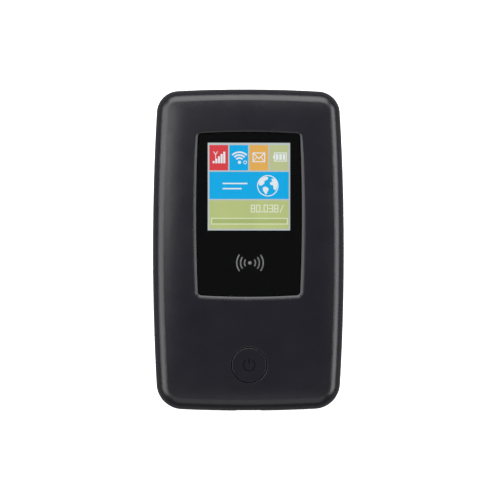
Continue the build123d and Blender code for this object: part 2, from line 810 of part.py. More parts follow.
# Main board: notched round the lower bosses and cut out for the charging port.
with BuildPart() as main_board:
    with BuildSketch(Plane.XY.offset(board_bottom_z)):
        add(case_outline(wall + board_inset))
        with Locations((0, length / 2 - board_top_margin)):
            Rectangle(2 * width, length, align=(Align.CENTER, Align.MIN), mode=Mode.SUBTRACT)
        for side in (-1, 1):
            with Locations((side * screw_x, -screw_y)):
                Circle(boss_d / 2 + boss_clearance, mode=Mode.SUBTRACT)
            with Locations((side * (screw_x + width / 2), -screw_y)):
                Rectangle(width, boss_d + 2 * boss_clearance, mode=Mode.SUBTRACT)
        with Locations((0, port_mouth_y)):
            Rectangle(port_width + 2 * frame_fit, 2 * (port_depth + frame_fit), mode=Mode.SUBTRACT)
    extrude(amount=board_t)
main_board.part.label = "main_board"
export_step(main_board.part, "parts/main_board.step")


def shield_can(center_y, can_length):
    """Drawn steel can, open towards the board, with rows of vent holes."""
    with BuildPart() as can:
        with BuildSketch(Plane.XY.offset(can_bottom_z)):
            with Locations((0, center_y)):
                RectangleRounded(can_width, can_length, can_corner_r)
        extrude(amount=can_height)
        with BuildSketch(Plane.XY.offset(can_bottom_z + sheet_t)):
            with Locations((0, center_y)):
                RectangleRounded(can_width - 2 * sheet_t, can_length - 2 * sheet_t, can_corner_r - sheet_t)
        extrude(amount=can_height, mode=Mode.SUBTRACT)
        with BuildSketch(Plane.XY.offset(can_bottom_z)):
            with Locations((0, center_y)):
                with GridLocations(vent_pitch, vent_pitch, vent_columns, vent_rows):
                    Circle(vent_d / 2)
        extrude(amount=sheet_t, mode=Mode.SUBTRACT)
    return can.part


modem_shield_can = shield_can(modem_can_y, modem_can_length)
modem_shield_can.label = "modem_shield_can"
export_step(modem_shield_can, "parts/modem_shield_can.step")
radio_shield_can = shield_can(radio_can_y, radio_can_length)
radio_shield_can.label = "radio_shield_can"
export_step(radio_shield_can, "parts/radio_shield_can.step")


def chips(places, size):
    """Chip packages soldered under the board, with a shallow pin-one dimple."""
    mark_x = pin_mark_inset - size[0] / 2
    mark_y = pin_mark_inset - size[1] / 2
    with BuildPart() as packages:
        with BuildSketch(Plane.XY.offset(board_bottom_z - chip_height)):
            with Locations(*places):
                Rectangle(*size)
        extrude(amount=chip_height)
        with BuildSketch(Plane.XY.offset(board_bottom_z - chip_height)):
            with Locations(*[(x + mark_x, y + mark_y) for x, y in places]):
                Circle(pin_mark_r)
        extrude(amount=pin_mark_depth, mode=Mode.SUBTRACT)
    return packages.part


modem_chip = chips([(modem_chip_x, modem_can_y)], modem_chip_size)
modem_chip.label = "modem_chip"
export_step(modem_chip, "parts/modem_chip.step")
memory_chip = chips([(memory_chip_x, modem_can_y)], memory_chip_size)
memory_chip.label = "memory_chip"
export_step(memory_chip, "parts/memory_chip.step")
radio_chips = chips([(x, radio_can_y) for x in radio_chip_places_x], radio_chip_size)
radio_chips.label = "radio_chips"
export_step(radio_chips, "parts/radio_chips.step")
power_chip = chips([(power_chip_x, -length / 2 + power_chip_from_bottom)], power_chip_size)
power_chip.label = "power_chip"
export_step(power_chip, "parts/power_chip.step")

# Small parts soldered in rows beside the shield cans.
row_x = can_width / 2 + component_spacing
with BuildPart() as board_components:
    with BuildSketch(Plane.XY.offset(board_bottom_z - component_t)):
        for row_y, row_count in ((modem_can_y, modem_component_count), (radio_can_y, radio_component_count)):
            with Locations((-row_x, row_y), (row_x, row_y)):
                with GridLocations(1, component_pitch, 1, row_count):
                    Rectangle(component_width, component_length)
    extrude(amount=component_t)
board_components.part.label = "board_components"
export_step(board_components.part, "parts/board_components.step")


def holder_shell(center_x, holder_width):
    """Folded steel cover of a card holder, open at its lower end, with a thumb cut-out."""
    with BuildPart() as shell:
        with BuildSketch(Plane.XY.offset(board_bottom_z - holder_height)):
            with Locations((center_x, holder_y)):
                Rectangle(holder_width, holder_length)
        extrude(amount=holder_height)
        with BuildSketch(Plane.XY.offset(board_bottom_z - holder_height + sheet_t)):
            with Locations((center_x, holder_y - sheet_t)):
                Rectangle(holder_width - 2 * sheet_t, holder_length)
        extrude(amount=holder_height, mode=Mode.SUBTRACT)
        with BuildSketch(Plane.XY.offset(board_bottom_z - holder_height)):
            with Locations((center_x, holder_y - holder_length / 2)):
                SlotOverall(thumb_width_share * holder_width, thumb_depth_share * holder_width)
            with Locations((center_x, holder_y + holder_length / 4)):
                with GridLocations(holder_width / 3, 1, 3, 1):
                    RectangleRounded(holder_slit_width, holder_slit_length, holder_slit_r)
        extrude(amount=sheet_t, mode=Mode.SUBTRACT)
    return shell.part


def holder_base(center_x, holder_width):
    """Moulded base of a card holder, with windows for its contacts."""
    base_width = holder_width - 2 * sheet_t - 2 * holder_fit
    with BuildPart() as base:
        with BuildSketch(Plane.XY.offset(board_bottom_z - holder_base_t)):
            with Locations((center_x, holder_y - sheet_t)):
                Rectangle(base_width, holder_length - 2 * sheet_t)
                with GridLocations(contact_pitch, 2 * contact_pitch, contact_columns, contact_rows):
                    Rectangle(
                        contact_width + 2 * contact_gap, contact_length + 2 * contact_gap, mode=Mode.SUBTRACT
                    )
        extrude(amount=holder_base_t)
    return base.part


for holder_name, holder_place, holder_size in (
    ("sim_holder", -holder_x, sim_width),
    ("memory_holder", holder_x, memory_width),
):
    shell_part = holder_shell(holder_place, holder_size)
    shell_part.label = f"{holder_name}_shell"
    export_step(shell_part, f"parts/{holder_name}_shell.step")
    base_part = holder_base(holder_place, holder_size)
    base_part.label = f"{holder_name}_base"
    export_step(base_part, f"parts/{holder_name}_base.step")

# Spring contacts of both card holders, in the windows of their bases.
with BuildPart() as card_contacts:
    with BuildSketch(Plane.XY.offset(board_bottom_z - holder_base_t - contact_rise)):
        for place_x in (-holder_x, holder_x):
            with Locations((place_x, holder_y - sheet_t)):
                with GridLocations(contact_pitch, 2 * contact_pitch, contact_columns, contact_rows):
                    Rectangle(contact_width, contact_length)
    extrude(amount=holder_base_t + contact_rise)
card_contacts.part.label = "card_contacts"
export_step(card_contacts.part, "parts/card_contacts.step")

# Charging port: drawn steel shell set into the board edge, with its tongue.
port_low_z = port_z - port_height / 2
port_high_z = port_z + port_height / 2
with BuildPart() as usb_port_shell:
    with BuildSketch(Plane.XZ.offset(-port_mouth_y)) as port_mouth:
        with BuildLine():
            Polyline(
                (-port_width / 2 + port_chamfer, port_low_z),
                (port_width / 2 - port_chamfer, port_low_z),
                (port_width / 2, port_low_z + port_chamfer),
                (port_width / 2, port_high_z),
                (-port_width / 2, port_high_z),
                (-port_width / 2, port_low_z + port_chamfer),
                close=True,
            )
        make_face()
        fillet(port_mouth.vertices(), port_corner_r)
    extrude(amount=-port_depth)
    offset(amount=-port_wall, openings=usb_port_shell.faces().sort_by(Axis.Y)[0])
    with BuildSketch(Plane.XY.offset(board_top_z)):
        with Locations((0, port_mouth_y + port_depth - port_ear_from_back)):
            Rectangle(port_width + 2 * port_ear_reach, port_ear_length)
            Rectangle(port_width - port_wall, port_ear_length, mode=Mode.SUBTRACT)
    extrude(amount=port_wall)
usb_port_shell.part.label = "usb_port_shell"
export_step(usb_port_shell.part, "parts/usb_port_shell.step")

with BuildPart() as usb_port_tongue:
    with BuildSketch(Plane.XZ.offset(-port_mouth_y - port_depth + port_wall)):
        with Locations((0, port_z)):
            Rectangle(tongue_block_width, tongue_block_height)
    extrude(amount=tongue_block_depth)
    with BuildSketch(Plane.XZ.offset(-port_mouth_y - port_depth + port_wall)):
        with Locations((0, port_z + tongue_t / 2)):
            Rectangle(tongue_width, tongue_t)
    extrude(amount=tongue_length)
usb_port_tongue.part.label = "usb_port_tongue"
export_step(usb_port_tongue.part, "parts/usb_port_tongue.step")

# Battery connector: moulded block through the frame into the bay, with four blades.
connector_place_y = bay_top_y + connector_body_depth / 2
blade_height = battery_t - 2 * terminal_margin - 2 * blade_margin
with BuildPart() as battery_connector:
    with BuildSketch(Plane.XY.offset(bay_wall_bottom_z)):
        with Locations((terminal_x, connector_place_y)):
            Rectangle(connector_length, connector_body_depth)
    extrude(amount=board_bottom_z - bay_wall_bottom_z)
    with BuildSketch(Plane.XZ.offset(-bay_top_y)):
        with Locations(*[(x, battery_mid_z) for x in terminal_places]):
            Rectangle(blade_width, blade_height)
    extrude(amount=-blade_root, mode=Mode.SUBTRACT)
battery_connector.part.label = "battery_connector"
export_step(battery_connector.part, "parts/battery_connector.step")

with BuildPart() as battery_contacts:
    with BuildSketch(Plane.XZ.offset(-bay_top_y - blade_root)):
        with Locations(*[(x, battery_mid_z) for x in terminal_places]):
            Rectangle(blade_width, blade_height)
    extrude(amount=blade_root + battery_fit - blade_gap)
battery_contacts.part.label = "battery_contacts"
export_step(battery_contacts.part, "parts/battery_contacts.step")


def battery_section(end_y, section_length):
    """Battery body between two planes across its length."""
    with BuildPart() as body:
        with BuildSketch(Plane.XZ.offset(-end_y)):
            with Locations((0, battery_mid_z)):
                RectangleRounded(bay_width - 2 * battery_fit, battery_t, min(battery_round, 0.4 * battery_t))
        extrude(amount=section_length)
    return body.part


# Battery: wrapped cell, end cap with the terminals, and a blank label.
battery_end_y = bay_top_y - battery_fit
battery_pack = battery_section(battery_end_y - end_cap_length, bay_length - 2 * battery_fit - end_cap_length)
battery_pack.label = "battery_pack"
export_step(battery_pack, "parts/battery_pack.step")

with BuildPart() as battery_end_cap:
    add(battery_section(battery_end_y, end_cap_length))
    with BuildSketch(Plane.XZ.offset(-battery_end_y)):
        with Locations(*[(x, battery_mid_z) for x in terminal_places]):
            Rectangle(terminal_width, battery_t - 2 * terminal_margin)
    extrude(amount=terminal_recess, mode=Mode.SUBTRACT)
battery_end_cap.part.label = "battery_end_cap"
export_step(battery_end_cap.part, "parts/battery_end_cap.step")

with BuildPart() as battery_terminals:
    with BuildSketch(Plane.XZ.offset(-battery_end_y + terminal_recess - terminal_t)):
        with Locations(*[(x, battery_mid_z) for x in terminal_places]):
            Rectangle(terminal_width, battery_t - 2 * terminal_margin)
    extrude(amount=terminal_t)
battery_terminals.part.label = "battery_terminals"
export_step(battery_terminals.part, "parts/battery_terminals.step")

for label_name, label_top_z in (("battery_label", battery_bottom_z), ("bay_label", plate_bottom_z)):
    with BuildPart() as label:
        with BuildSketch(Plane.XY.offset(label_top_z - label_t)):
            with Locations((0, bay_y + label_shift)):
                RectangleRounded(
                    bay_width - 2 * battery_round - 2 * label_margin, bay_length - label_trim, label_corner_r
                )
        extrude(amount=label_t)
    label.part.label = label_name
    export_step(label.part, f"parts/{label_name}.step")


# Power switch: body with a floored well, and the plunger that the button pushes.
with BuildPart() as power_switch:
    with BuildSketch(Plane.XY.offset(board_top_z)):
        with Locations((0, button_y)):
            Rectangle(switch_size, switch_size)
    extrude(amount=switch_height)
    chamfer(power_switch.edges().filter_by(Axis.Z), switch_chamfer)
    with BuildSketch(Plane.XY.offset(board_top_z + switch_floor)):
        with Locations((0, button_y)):
            Circle(plunger_d / 2 + plunger_gap)
    extrude(amount=switch_height, mode=Mode.SUBTRACT)
power_switch.part.label = "power_switch"
export_step(power_switch.part, "parts/power_switch.step")

with BuildPart() as power_switch_plunger:
    with BuildSketch(Plane.XY.offset(board_top_z + switch_floor + plunger_room)):
        with Locations((0, button_y)):
            Circle(plunger_d / 2)
    extrude(amount=switch_height - switch_floor - plunger_room + plunger_proud)
power_switch_plunger.part.label = "power_switch_plunger"
export_step(power_switch_plunger.part, "parts/power_switch_plunger.step")

# Reset switch under the board, reached through a hole in the frame with the back cover off.
with BuildPart() as reset_switch:
    with BuildSketch(Plane.XY.offset(board_bottom_z - reset_height)):
        with Locations(reset_place):
            Rectangle(reset_size, reset_size)
    extrude(amount=reset_height)
    chamfer(reset_switch.edges().filter_by(Axis.Z), reset_chamfer)
    with BuildSketch(Plane.XY.offset(board_bottom_z - reset_height)):
        with Locations(reset_place):
            Circle(reset_plunger_d / 2 + plunger_gap)
    extrude(amount=reset_height - switch_floor, mode=Mode.SUBTRACT)
reset_switch.part.label = "reset_switch"
export_step(reset_switch.part, "parts/reset_switch.step")

with BuildPart() as reset_plunger:
    with BuildSketch(Plane.XY.offset(board_bottom_z - reset_height - reset_proud)):
        with Locations(reset_place):
            Circle(reset_plunger_d / 2)
    extrude(amount=reset_height - switch_floor - plunger_room + reset_proud)
reset_plunger.part.label = "reset_plunger"
export_step(reset_plunger.part, "parts/reset_plunger.step")


def antenna(low_x, high_x, end, feeds):
    """Copper pattern on an antenna platform, with feeds that pass the frame to the contacts of the board."""
    near_y = end * (length / 2 - antenna_near_margin)
    far_y = end * (length / 2 - antenna_far_margin)
    pattern_z = plate_bottom_z - platform_t - copper_t
    riser_y = near_y - end * feed_standoff
    with BuildPart() as copper:
        with BuildSketch(Plane.XY.offset(pattern_z)):
            with Locations(((low_x + high_x) / 2, (riser_y + far_y) / 2)):
                Rectangle(high_x - low_x - 2 * pattern_margin, abs(far_y - riser_y))
            with Locations(((low_x + high_x) / 2 + slit_shift, near_y + end * slit_from_near)):
                Rectangle(high_x - low_x - 2 * slit_end, slit_width, mode=Mode.SUBTRACT)
            for feed in feeds:
                with Locations((feed + feed_width, near_y + end * notch_from_near)):
                    Rectangle(notch_width, notch_length, mode=Mode.SUBTRACT)
        extrude(amount=copper_t)
        with BuildSketch(Plane.XY.offset(pattern_z)):
            with Locations(*[(feed, riser_y + end * copper_t / 2) for feed in feeds]):
                Rectangle(feed_width, copper_t)
        extrude(amount=plate_top_z + copper_t - pattern_z)
        with BuildSketch(Plane.XY.offset(plate_top_z)):
            with Locations(*[(feed, riser_y - end * feed_tab / 2 + end * copper_t) for feed in feeds]):
                Rectangle(feed_width, feed_tab)
        extrude(amount=copper_t)
    return copper.part


main_antenna = antenna(-antenna_x, antenna_x, 1, (-feed_x, feed_x))
main_antenna.label = "main_antenna"
export_step(main_antenna, "parts/main_antenna.step")
wifi_antenna = antenna(wifi_low_x, antenna_x, -1, (wifi_feed_x,))
wifi_antenna.label = "wifi_antenna"
export_step(wifi_antenna, "parts/wifi_antenna.step")

# Antenna contacts: bent springs under the board that press on the feed tabs.
clip_low_z = plate_top_z + copper_t + clip_t / 2
clip_high_z = board_bottom_z - clip_t / 2
with BuildPart() as antenna_clips:
    for clip_x, end in ((-feed_x, 1), (feed_x, 1), (wifi_feed_x, -1)):
        clip_y = end * (length / 2 - antenna_near_margin - clip_from_near)
        with BuildSketch(Plane.YZ.offset(clip_x - clip_width / 2)):
            with BuildLine():
                FilletPolyline(
                    (clip_y + end * clip_length / 2, clip_high_z),
                    (clip_y - end * clip_length / 2, clip_high_z),
                    (clip_y - end * clip_length / 2, clip_low_z),
                    (clip_y + end * clip_tip, clip_low_z),
                    radius=clip_bend_r,
                )
            trace(line_width=clip_t)
        extrude(amount=clip_width)
antenna_clips.part.label = "antenna_clips"
export_step(antenna_clips.part, "parts/antenna_clips.step")
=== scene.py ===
import math

import bmesh
import bpy
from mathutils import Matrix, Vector


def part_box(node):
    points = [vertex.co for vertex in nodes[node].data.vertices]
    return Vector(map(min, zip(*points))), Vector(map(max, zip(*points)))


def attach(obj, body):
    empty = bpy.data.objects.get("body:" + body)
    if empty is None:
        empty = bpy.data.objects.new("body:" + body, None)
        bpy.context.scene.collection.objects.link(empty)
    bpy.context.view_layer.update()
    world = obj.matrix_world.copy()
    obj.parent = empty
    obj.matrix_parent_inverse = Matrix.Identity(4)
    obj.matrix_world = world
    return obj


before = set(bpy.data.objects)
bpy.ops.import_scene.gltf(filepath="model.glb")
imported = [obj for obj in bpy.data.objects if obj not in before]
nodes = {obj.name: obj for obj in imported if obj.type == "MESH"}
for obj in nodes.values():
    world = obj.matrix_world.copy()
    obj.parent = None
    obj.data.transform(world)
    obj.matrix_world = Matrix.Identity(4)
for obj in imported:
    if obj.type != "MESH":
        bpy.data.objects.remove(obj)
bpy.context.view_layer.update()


# ---------------------------------------------------------------------------------------------------
# Studio: the unit lies face up on a pale sweep of paper and is seen through a long lens, 2.2 degrees
# to the left of straight above. Four panels stand around it, one for each edge band of the case, and
# a small one lights the upper left corner. None of it belongs to the object.
# ---------------------------------------------------------------------------------------------------
mm = 0.001
lens_mm = 150.0
sensor_mm = 36.0
frame_side = 0.15575
outline_height = 8.5 * mm
aim_shift = 0.5 * mm
camera_data = bpy.data.cameras.new("product_camera")
camera_data.lens = lens_mm
camera_data.sensor_width = sensor_mm
camera_data.clip_start = 0.05
camera_data.clip_end = 20.0
camera = bpy.data.objects.new("product_camera", camera_data)
camera_distance = frame_side * lens_mm / sensor_mm
camera_lean = math.radians(-2.2)
sight = Vector((math.sin(camera_lean), 0.0, math.cos(camera_lean)))
aim = Vector((aim_shift, 0.0, outline_height))
camera.location = aim + sight * camera_distance
camera.rotation_euler = (0.0, camera_lean, 0.0)
scene = bpy.context.scene
scene.collection.objects.link(camera)
scene.camera = camera
scene.view_settings.view_transform = "Standard"

# The air of the studio is dim, and only its backdrop is white.
studio_air = bpy.data.worlds.new("studio_air")
scene.world = studio_air
studio_air.use_nodes = True
air = studio_air.node_tree
dim_air = air.nodes["Background"]
dim_air.inputs["Color"].default_value = (0.92, 0.94, 1.0, 1.0)
dim_air.inputs["Strength"].default_value = 0.14
backdrop = air.nodes.new("ShaderNodeBackground")
backdrop.inputs["Color"].default_value = (1.0, 1.0, 1.0, 1.0)
backdrop.inputs["Strength"].default_value = 0.92
seen = air.nodes.new("ShaderNodeLightPath")
choice = air.nodes.new("ShaderNodeMixShader")
air.links.new(seen.outputs["Is Camera Ray"], choice.inputs["Fac"])
air.links.new(dim_air.outputs["Background"], choice.inputs[1])
air.links.new(backdrop.outputs["Background"], choice.inputs[2])
air.links.new(choice.outputs["Shader"], air.nodes["World Output"].inputs["Surface"])


def soft_box(name, lean, compass, across, along, glow):
    """A diffused panel that faces the unit and stays out of the picture.

    Lean is its angle from straight above and compass the way it stands, counted from +X towards +Y,
    both in degrees. Across and along are its sides in metres, and glow its brightness at any size.
    """
    tilt = math.radians(lean)
    turn = math.radians(compass)
    place = Vector((math.sin(tilt) * math.cos(turn), math.sin(tilt) * math.sin(turn), math.cos(tilt)))
    lamp = bpy.data.lights.new(name, "AREA")
    lamp.shape = "RECTANGLE"
    lamp.size = along
    lamp.size_y = across
    lamp.energy = glow * math.pi * across * along
    holder = bpy.data.objects.new(name, lamp)
    holder.location = place * panel_distance
    holder.rotation_euler = (-place).to_track_quat("-Z", "Y").to_euler()
    holder.visible_camera = False
    scene.collection.objects.link(holder)


panel_distance = 0.6
soft_box("left_panel", lean=55, compass=180, across=0.39, along=0.80, glow=3.4)
soft_box("right_panel", lean=59, compass=0, across=0.31, along=0.70, glow=4.1)
soft_box("upper_panel", lean=52, compass=90, across=0.42, along=0.80, glow=4.4)
soft_box("lower_panel", lean=46, compass=270, across=0.44, along=0.60, glow=0.8)
soft_box("upper_left_panel", lean=30, compass=152, across=0.22, along=0.22, glow=3.2)

# The paper lies a hair under the unit, so that its level and the back cover's are not the same.
sweep_half = 3.0
sweep_drop = 0.05 * mm
sweep_mesh = bpy.data.meshes.new("pale_sweep")
sweep_corners = [(-1, -1), (1, -1), (1, 1), (-1, 1)]
sweep_places = [(sweep_half * x, sweep_half * y, -sweep_drop) for x, y in sweep_corners]
sweep_mesh.from_pydata(sweep_places, [], [(0, 1, 2, 3)])
sweep = bpy.data.objects.new("pale_sweep", sweep_mesh)
scene.collection.objects.link(sweep)

# It glows for the camera only. To every other ray it is a dull grey, as paper in the shade would be.
sweep_paper = bpy.data.materials.new("sweep_paper")
sweep_paper.use_nodes = True
paper = sweep_paper.node_tree
paper_shader = paper.nodes["Principled BSDF"]
paper_shader.inputs["Base Color"].default_value = (0.85, 0.85, 0.85, 1)
paper_shader.inputs["Roughness"].default_value = 0.9
paper_shade = paper.nodes.new("ShaderNodeBsdfDiffuse")
paper_shade.inputs["Color"].default_value = (0.2, 0.2, 0.2, 1)
paper_glow = paper.nodes.new("ShaderNodeEmission")
paper_glow.inputs["Strength"].default_value = 0.82
paper_seen = paper.nodes.new("ShaderNodeLightPath")
paper_sum = paper.nodes.new("ShaderNodeAddShader")
paper_choice = paper.nodes.new("ShaderNodeMixShader")
paper.links.new(paper_shader.outputs["BSDF"], paper_sum.inputs[0])
paper.links.new(paper_glow.outputs["Emission"], paper_sum.inputs[1])
paper.links.new(paper_seen.outputs["Is Camera Ray"], paper_choice.inputs["Fac"])
paper.links.new(paper_shade.outputs["BSDF"], paper_choice.inputs[1])
paper.links.new(paper_sum.outputs["Shader"], paper_choice.inputs[2])
paper.links.new(paper_choice.outputs["Shader"], paper.nodes["Material Output"].inputs["Surface"])
sweep_mesh.materials.append(sweep_paper)


# ---------------------------------------------------------------------------------------------------
# Front and back cover: two shells of black ABS, moulded against a finely spark-eroded tool, so the
# skin is satin with a very fine grain. Handling polishes it a little in patches and along the edges.
# ---------------------------------------------------------------------------------------------------
def effect_group(name, inputs, outputs):
    """An empty shader node group with named value sockets, and its two end nodes."""
    group = bpy.data.node_groups.new(name, "ShaderNodeTree")
    for label, value in inputs:
        socket = group.interface.new_socket(label, in_out="INPUT", socket_type="NodeSocketFloat")
        socket.default_value = value
    for label in outputs:
        group.interface.new_socket(label, in_out="OUTPUT", socket_type="NodeSocketFloat")
    return group, group.nodes.new("NodeGroupInput"), group.nodes.new("NodeGroupOutput")


def calculate(tree, operation, *values):
    """A Math node: numbers are set on it and sockets are linked to it."""
    node = tree.nodes.new("ShaderNodeMath")
    node.operation = operation
    for i, value in enumerate(values):
        if isinstance(value, bpy.types.NodeSocket):
            tree.links.new(value, node.inputs[i])
        else:
            node.inputs[i].default_value = value
    return node.outputs["Value"]


def measured_place(tree, size_x, size_y, size_z):
    """The place on the object, divided along each axis by a size in metres."""
    coordinates = tree.nodes.new("ShaderNodeTexCoord")
    sizes = tree.nodes.new("ShaderNodeCombineXYZ")
    for i, size in enumerate((size_x, size_y, size_z)):
        if isinstance(size, bpy.types.NodeSocket):
            tree.links.new(size, sizes.inputs[i])
        else:
            sizes.inputs[i].default_value = size
    divide = tree.nodes.new("ShaderNodeVectorMath")
    divide.operation = "DIVIDE"
    tree.links.new(coordinates.outputs["Object"], divide.inputs[0])
    tree.links.new(sizes.outputs["Vector"], divide.inputs[1])
    return divide.outputs["Vector"]


def cloud(tree, vector, scale, detail):
    """Soft noise between 0 and 1 over a vector."""
    node = tree.nodes.new("ShaderNodeTexNoise")
    node.inputs["Scale"].default_value = scale
    node.inputs["Detail"].default_value = detail
    tree.links.new(vector, node.inputs["Vector"])
    return node.outputs["Fac"]


def between(tree, value, low, high):
    """A value stretched so that low becomes 0 and high becomes 1, and held there."""
    node = tree.nodes.new("ShaderNodeMapRange")
    node.inputs["From Min"].default_value = low
    node.inputs["From Max"].default_value = high
    tree.links.new(value, node.inputs["Value"])
    return node.outputs["Result"]


# Spark-eroded grain: rounded pits of one size, with a broad unevenness of tone.
grain, grain_in, grain_out = effect_group("moulded grain", [("Grain Size", 0.2 * mm)], ["Height", "Tone"])
grain_size = grain_in.outputs["Grain Size"]
grain_place = measured_place(grain, grain_size, grain_size, grain_size)
pits = grain.nodes.new("ShaderNodeTexVoronoi")
pits.feature = "SMOOTH_F1"
pits.inputs["Scale"].default_value = 1.0
grain.links.new(grain_place, pits.inputs["Vector"])
pit_depth = calculate(grain, "MULTIPLY", pits.outputs["Distance"], 0.6)
rough_height = calculate(grain, "MULTIPLY", cloud(grain, grain_place, 0.7, 2.0), 0.7)
grain.links.new(calculate(grain, "ADD", pit_depth, rough_height), grain_out.inputs["Height"])
grain.links.new(between(grain, cloud(grain, grain_place, 0.02, 3.0), 0.3, 0.7), grain_out.inputs["Tone"])

# Handling: soft patches where fingers have polished or greased the surface.
handling, handling_in, handling_out = effect_group("handling", [("Patch Size", 12 * mm)], ["Mask"])
patch_size = handling_in.outputs["Patch Size"]
patch_place = measured_place(handling, patch_size, patch_size, patch_size)
patches = between(handling, cloud(handling, patch_place, 1.0, 2.0), 0.35, 0.75)
handling.links.new(patches, handling_out.inputs["Mask"])

# Edge wear: where the surface turns within a small radius, broken up by noise.
wear, wear_in, wear_out = effect_group("edge wear", [("Radius", 0.3 * mm), ("Break Up", 1 * mm)], ["Mask"])
softened = wear.nodes.new("ShaderNodeBevel")
softened.samples = 4
wear.links.new(wear_in.outputs["Radius"], softened.inputs["Radius"])
facing = wear.nodes.new("ShaderNodeNewGeometry")
turn = wear.nodes.new("ShaderNodeVectorMath")
turn.operation = "DOT_PRODUCT"
wear.links.new(softened.outputs["Normal"], turn.inputs[0])
wear.links.new(facing.outputs["Normal"], turn.inputs[1])
turned = between(wear, calculate(wear, "SUBTRACT", 1.0, turn.outputs["Value"]), 0.01, 0.2)
break_up = wear_in.outputs["Break Up"]
break_up_place = measured_place(wear, break_up, break_up, break_up)
chipped = between(wear, cloud(wear, break_up_place, 1.0, 3.0), 0.35, 0.6)
wear.links.new(calculate(wear, "MULTIPLY", turned, chipped), wear_out.inputs["Mask"])


def shader_of(material):
    """The one shader of a material."""
    return material.node_tree.nodes["Principled BSDF"]


def finish(name, color, roughness, metallic=0.0):
    """A new material whose shader has these plain values."""
    material = bpy.data.materials.new(name)
    material.use_nodes = True
    shader = shader_of(material)
    shader.inputs["Base Color"].default_value = (*color, 1.0)
    shader.inputs["Roughness"].default_value = roughness
    shader.inputs["Metallic"].default_value = metallic
    return material, shader


def effect(material, group, **values):
    """Places an effect group in a material with its own values."""
    node = material.node_tree.nodes.new("ShaderNodeGroup")
    node.node_tree = group
    for label, value in values.items():
        node.inputs[label.replace("_", " ")].default_value = value
    return node


def tint(material, mask, dark, light):
    """Colour that goes from dark to light with a mask."""
    node = material.node_tree.nodes.new("ShaderNodeMix")
    node.data_type = "RGBA"
    node.inputs["A"].default_value = (*dark, 1.0)
    node.inputs["B"].default_value = (*light, 1.0)
    material.node_tree.links.new(mask, node.inputs["Factor"])
    return node.outputs["Result"]


def tint_over(material, mask, under, light):
    """Another colour laid over one that is already uneven, where the mask says."""
    node = material.node_tree.nodes.new("ShaderNodeMix")
    node.data_type = "RGBA"
    node.inputs["B"].default_value = (*light, 1.0)
    material.node_tree.links.new(under, node.inputs["A"])
    material.node_tree.links.new(mask, node.inputs["Factor"])
    return node.outputs["Result"]


def gloss_between(material, mask, low, high):
    """Roughness that goes from low to high with a mask."""
    node = material.node_tree.nodes.new("ShaderNodeMapRange")
    node.inputs["To Min"].default_value = low
    node.inputs["To Max"].default_value = high
    material.node_tree.links.new(mask, node.inputs["Value"])
    return node.outputs["Result"]


def relief(material, height, depth):
    """Bump of a real depth in metres on the shader of a material."""
    node = material.node_tree.nodes.new("ShaderNodeBump")
    node.inputs["Distance"].default_value = depth
    material.node_tree.links.new(height, node.inputs["Height"])
    material.node_tree.links.new(node.outputs["Normal"], shader_of(material).inputs["Normal"])


def moulded(name, dark, light, worn, gloss, grain_size_mm, grain_depth_mm):
    """Moulded plastic: uneven tone, grain, patches polished by hands and paler edges.

    Gloss is its roughness where hands have polished it, and where they haven't.
    """
    material, shader = finish(name, dark, gloss[1])
    links = material.node_tree.links
    skin = effect(material, grain, Grain_Size=grain_size_mm * mm)
    hands = effect(material, handling)
    edges = effect(material, wear)
    color = tint(material, skin.outputs["Tone"], dark, light)
    links.new(tint_over(material, edges.outputs["Mask"], color, worn), shader.inputs["Base Color"])
    polish = gloss_between(material, hands.outputs["Mask"], gloss[1], gloss[0])
    links.new(polish, shader.inputs["Roughness"])
    relief(material, skin.outputs["Height"], grain_depth_mm * mm)
    return material


def dress(material, *names):
    """Gives a finish to CAD nodes."""
    for name in names:
        for slot in nodes[name].material_slots:
            slot.material = material


shell_dark = (0.0050, 0.0046, 0.0074)
shell_light = (0.0064, 0.0059, 0.0094)
shell_worn = (0.014, 0.014, 0.016)
shell_black = moulded(
    "shell_black", dark=shell_dark, light=shell_light, worn=shell_worn,
    gloss=(0.25, 0.29), grain_size_mm=0.16, grain_depth_mm=0.003,
)
dress(shell_black, "front_cover", "back_cover")


# ---------------------------------------------------------------------------------------------------
# Power button: a round cap of the same black ABS as the front cover, from a tool with a finer grain.
# The sign is engraved in the tool. Its smooth floor is glossier than the grain, and painted shade darkens
# it.
# ---------------------------------------------------------------------------------------------------
# Painted shade: an ambient occlusion mask that rises in recesses, such as the engraved sign.
shade_group, shade_group_in, shade_group_out = effect_group("painted recess shade", [("Reach", 0.4 * mm)], ["Mask"])
open_sky = shade_group.nodes.new("ShaderNodeAmbientOcclusion")
open_sky.samples = 8
open_sky.only_local = True
shade_group.links.new(shade_group_in.outputs["Reach"], open_sky.inputs["Distance"])
shade_group.links.new(between(shade_group, open_sky.outputs["AO"], 0.85, 0.62), shade_group_out.inputs["Mask"])

button_black = moulded(
    "button_black", dark=shell_dark, light=shell_light, worn=shell_worn,
    gloss=(0.25, 0.29), grain_size_mm=0.12, grain_depth_mm=0.0025,
)
button_shader = shader_of(button_black)
button_links = button_black.node_tree.links
# The engraving gets painted shade: its colour goes near black where the occlusion mask finds a recess, and
# its roughness drops there.
engraved_shade = effect(button_black, shade_group, Reach=0.35 * mm)
engraved_painted_shade = (0.0008, 0.0008, 0.0009)
button_color = button_shader.inputs["Base Color"].links[0].from_socket
color_with_painted_shade = tint_over(button_black, engraved_shade.outputs["Mask"], button_color, engraved_painted_shade)
button_links.new(color_with_painted_shade, button_shader.inputs["Base Color"])
engraved_gloss = gloss_between(button_black, engraved_shade.outputs["Mask"], 0.27, 0.12)
button_links.new(engraved_gloss, button_shader.inputs["Roughness"])
dress(button_black, "power_button")


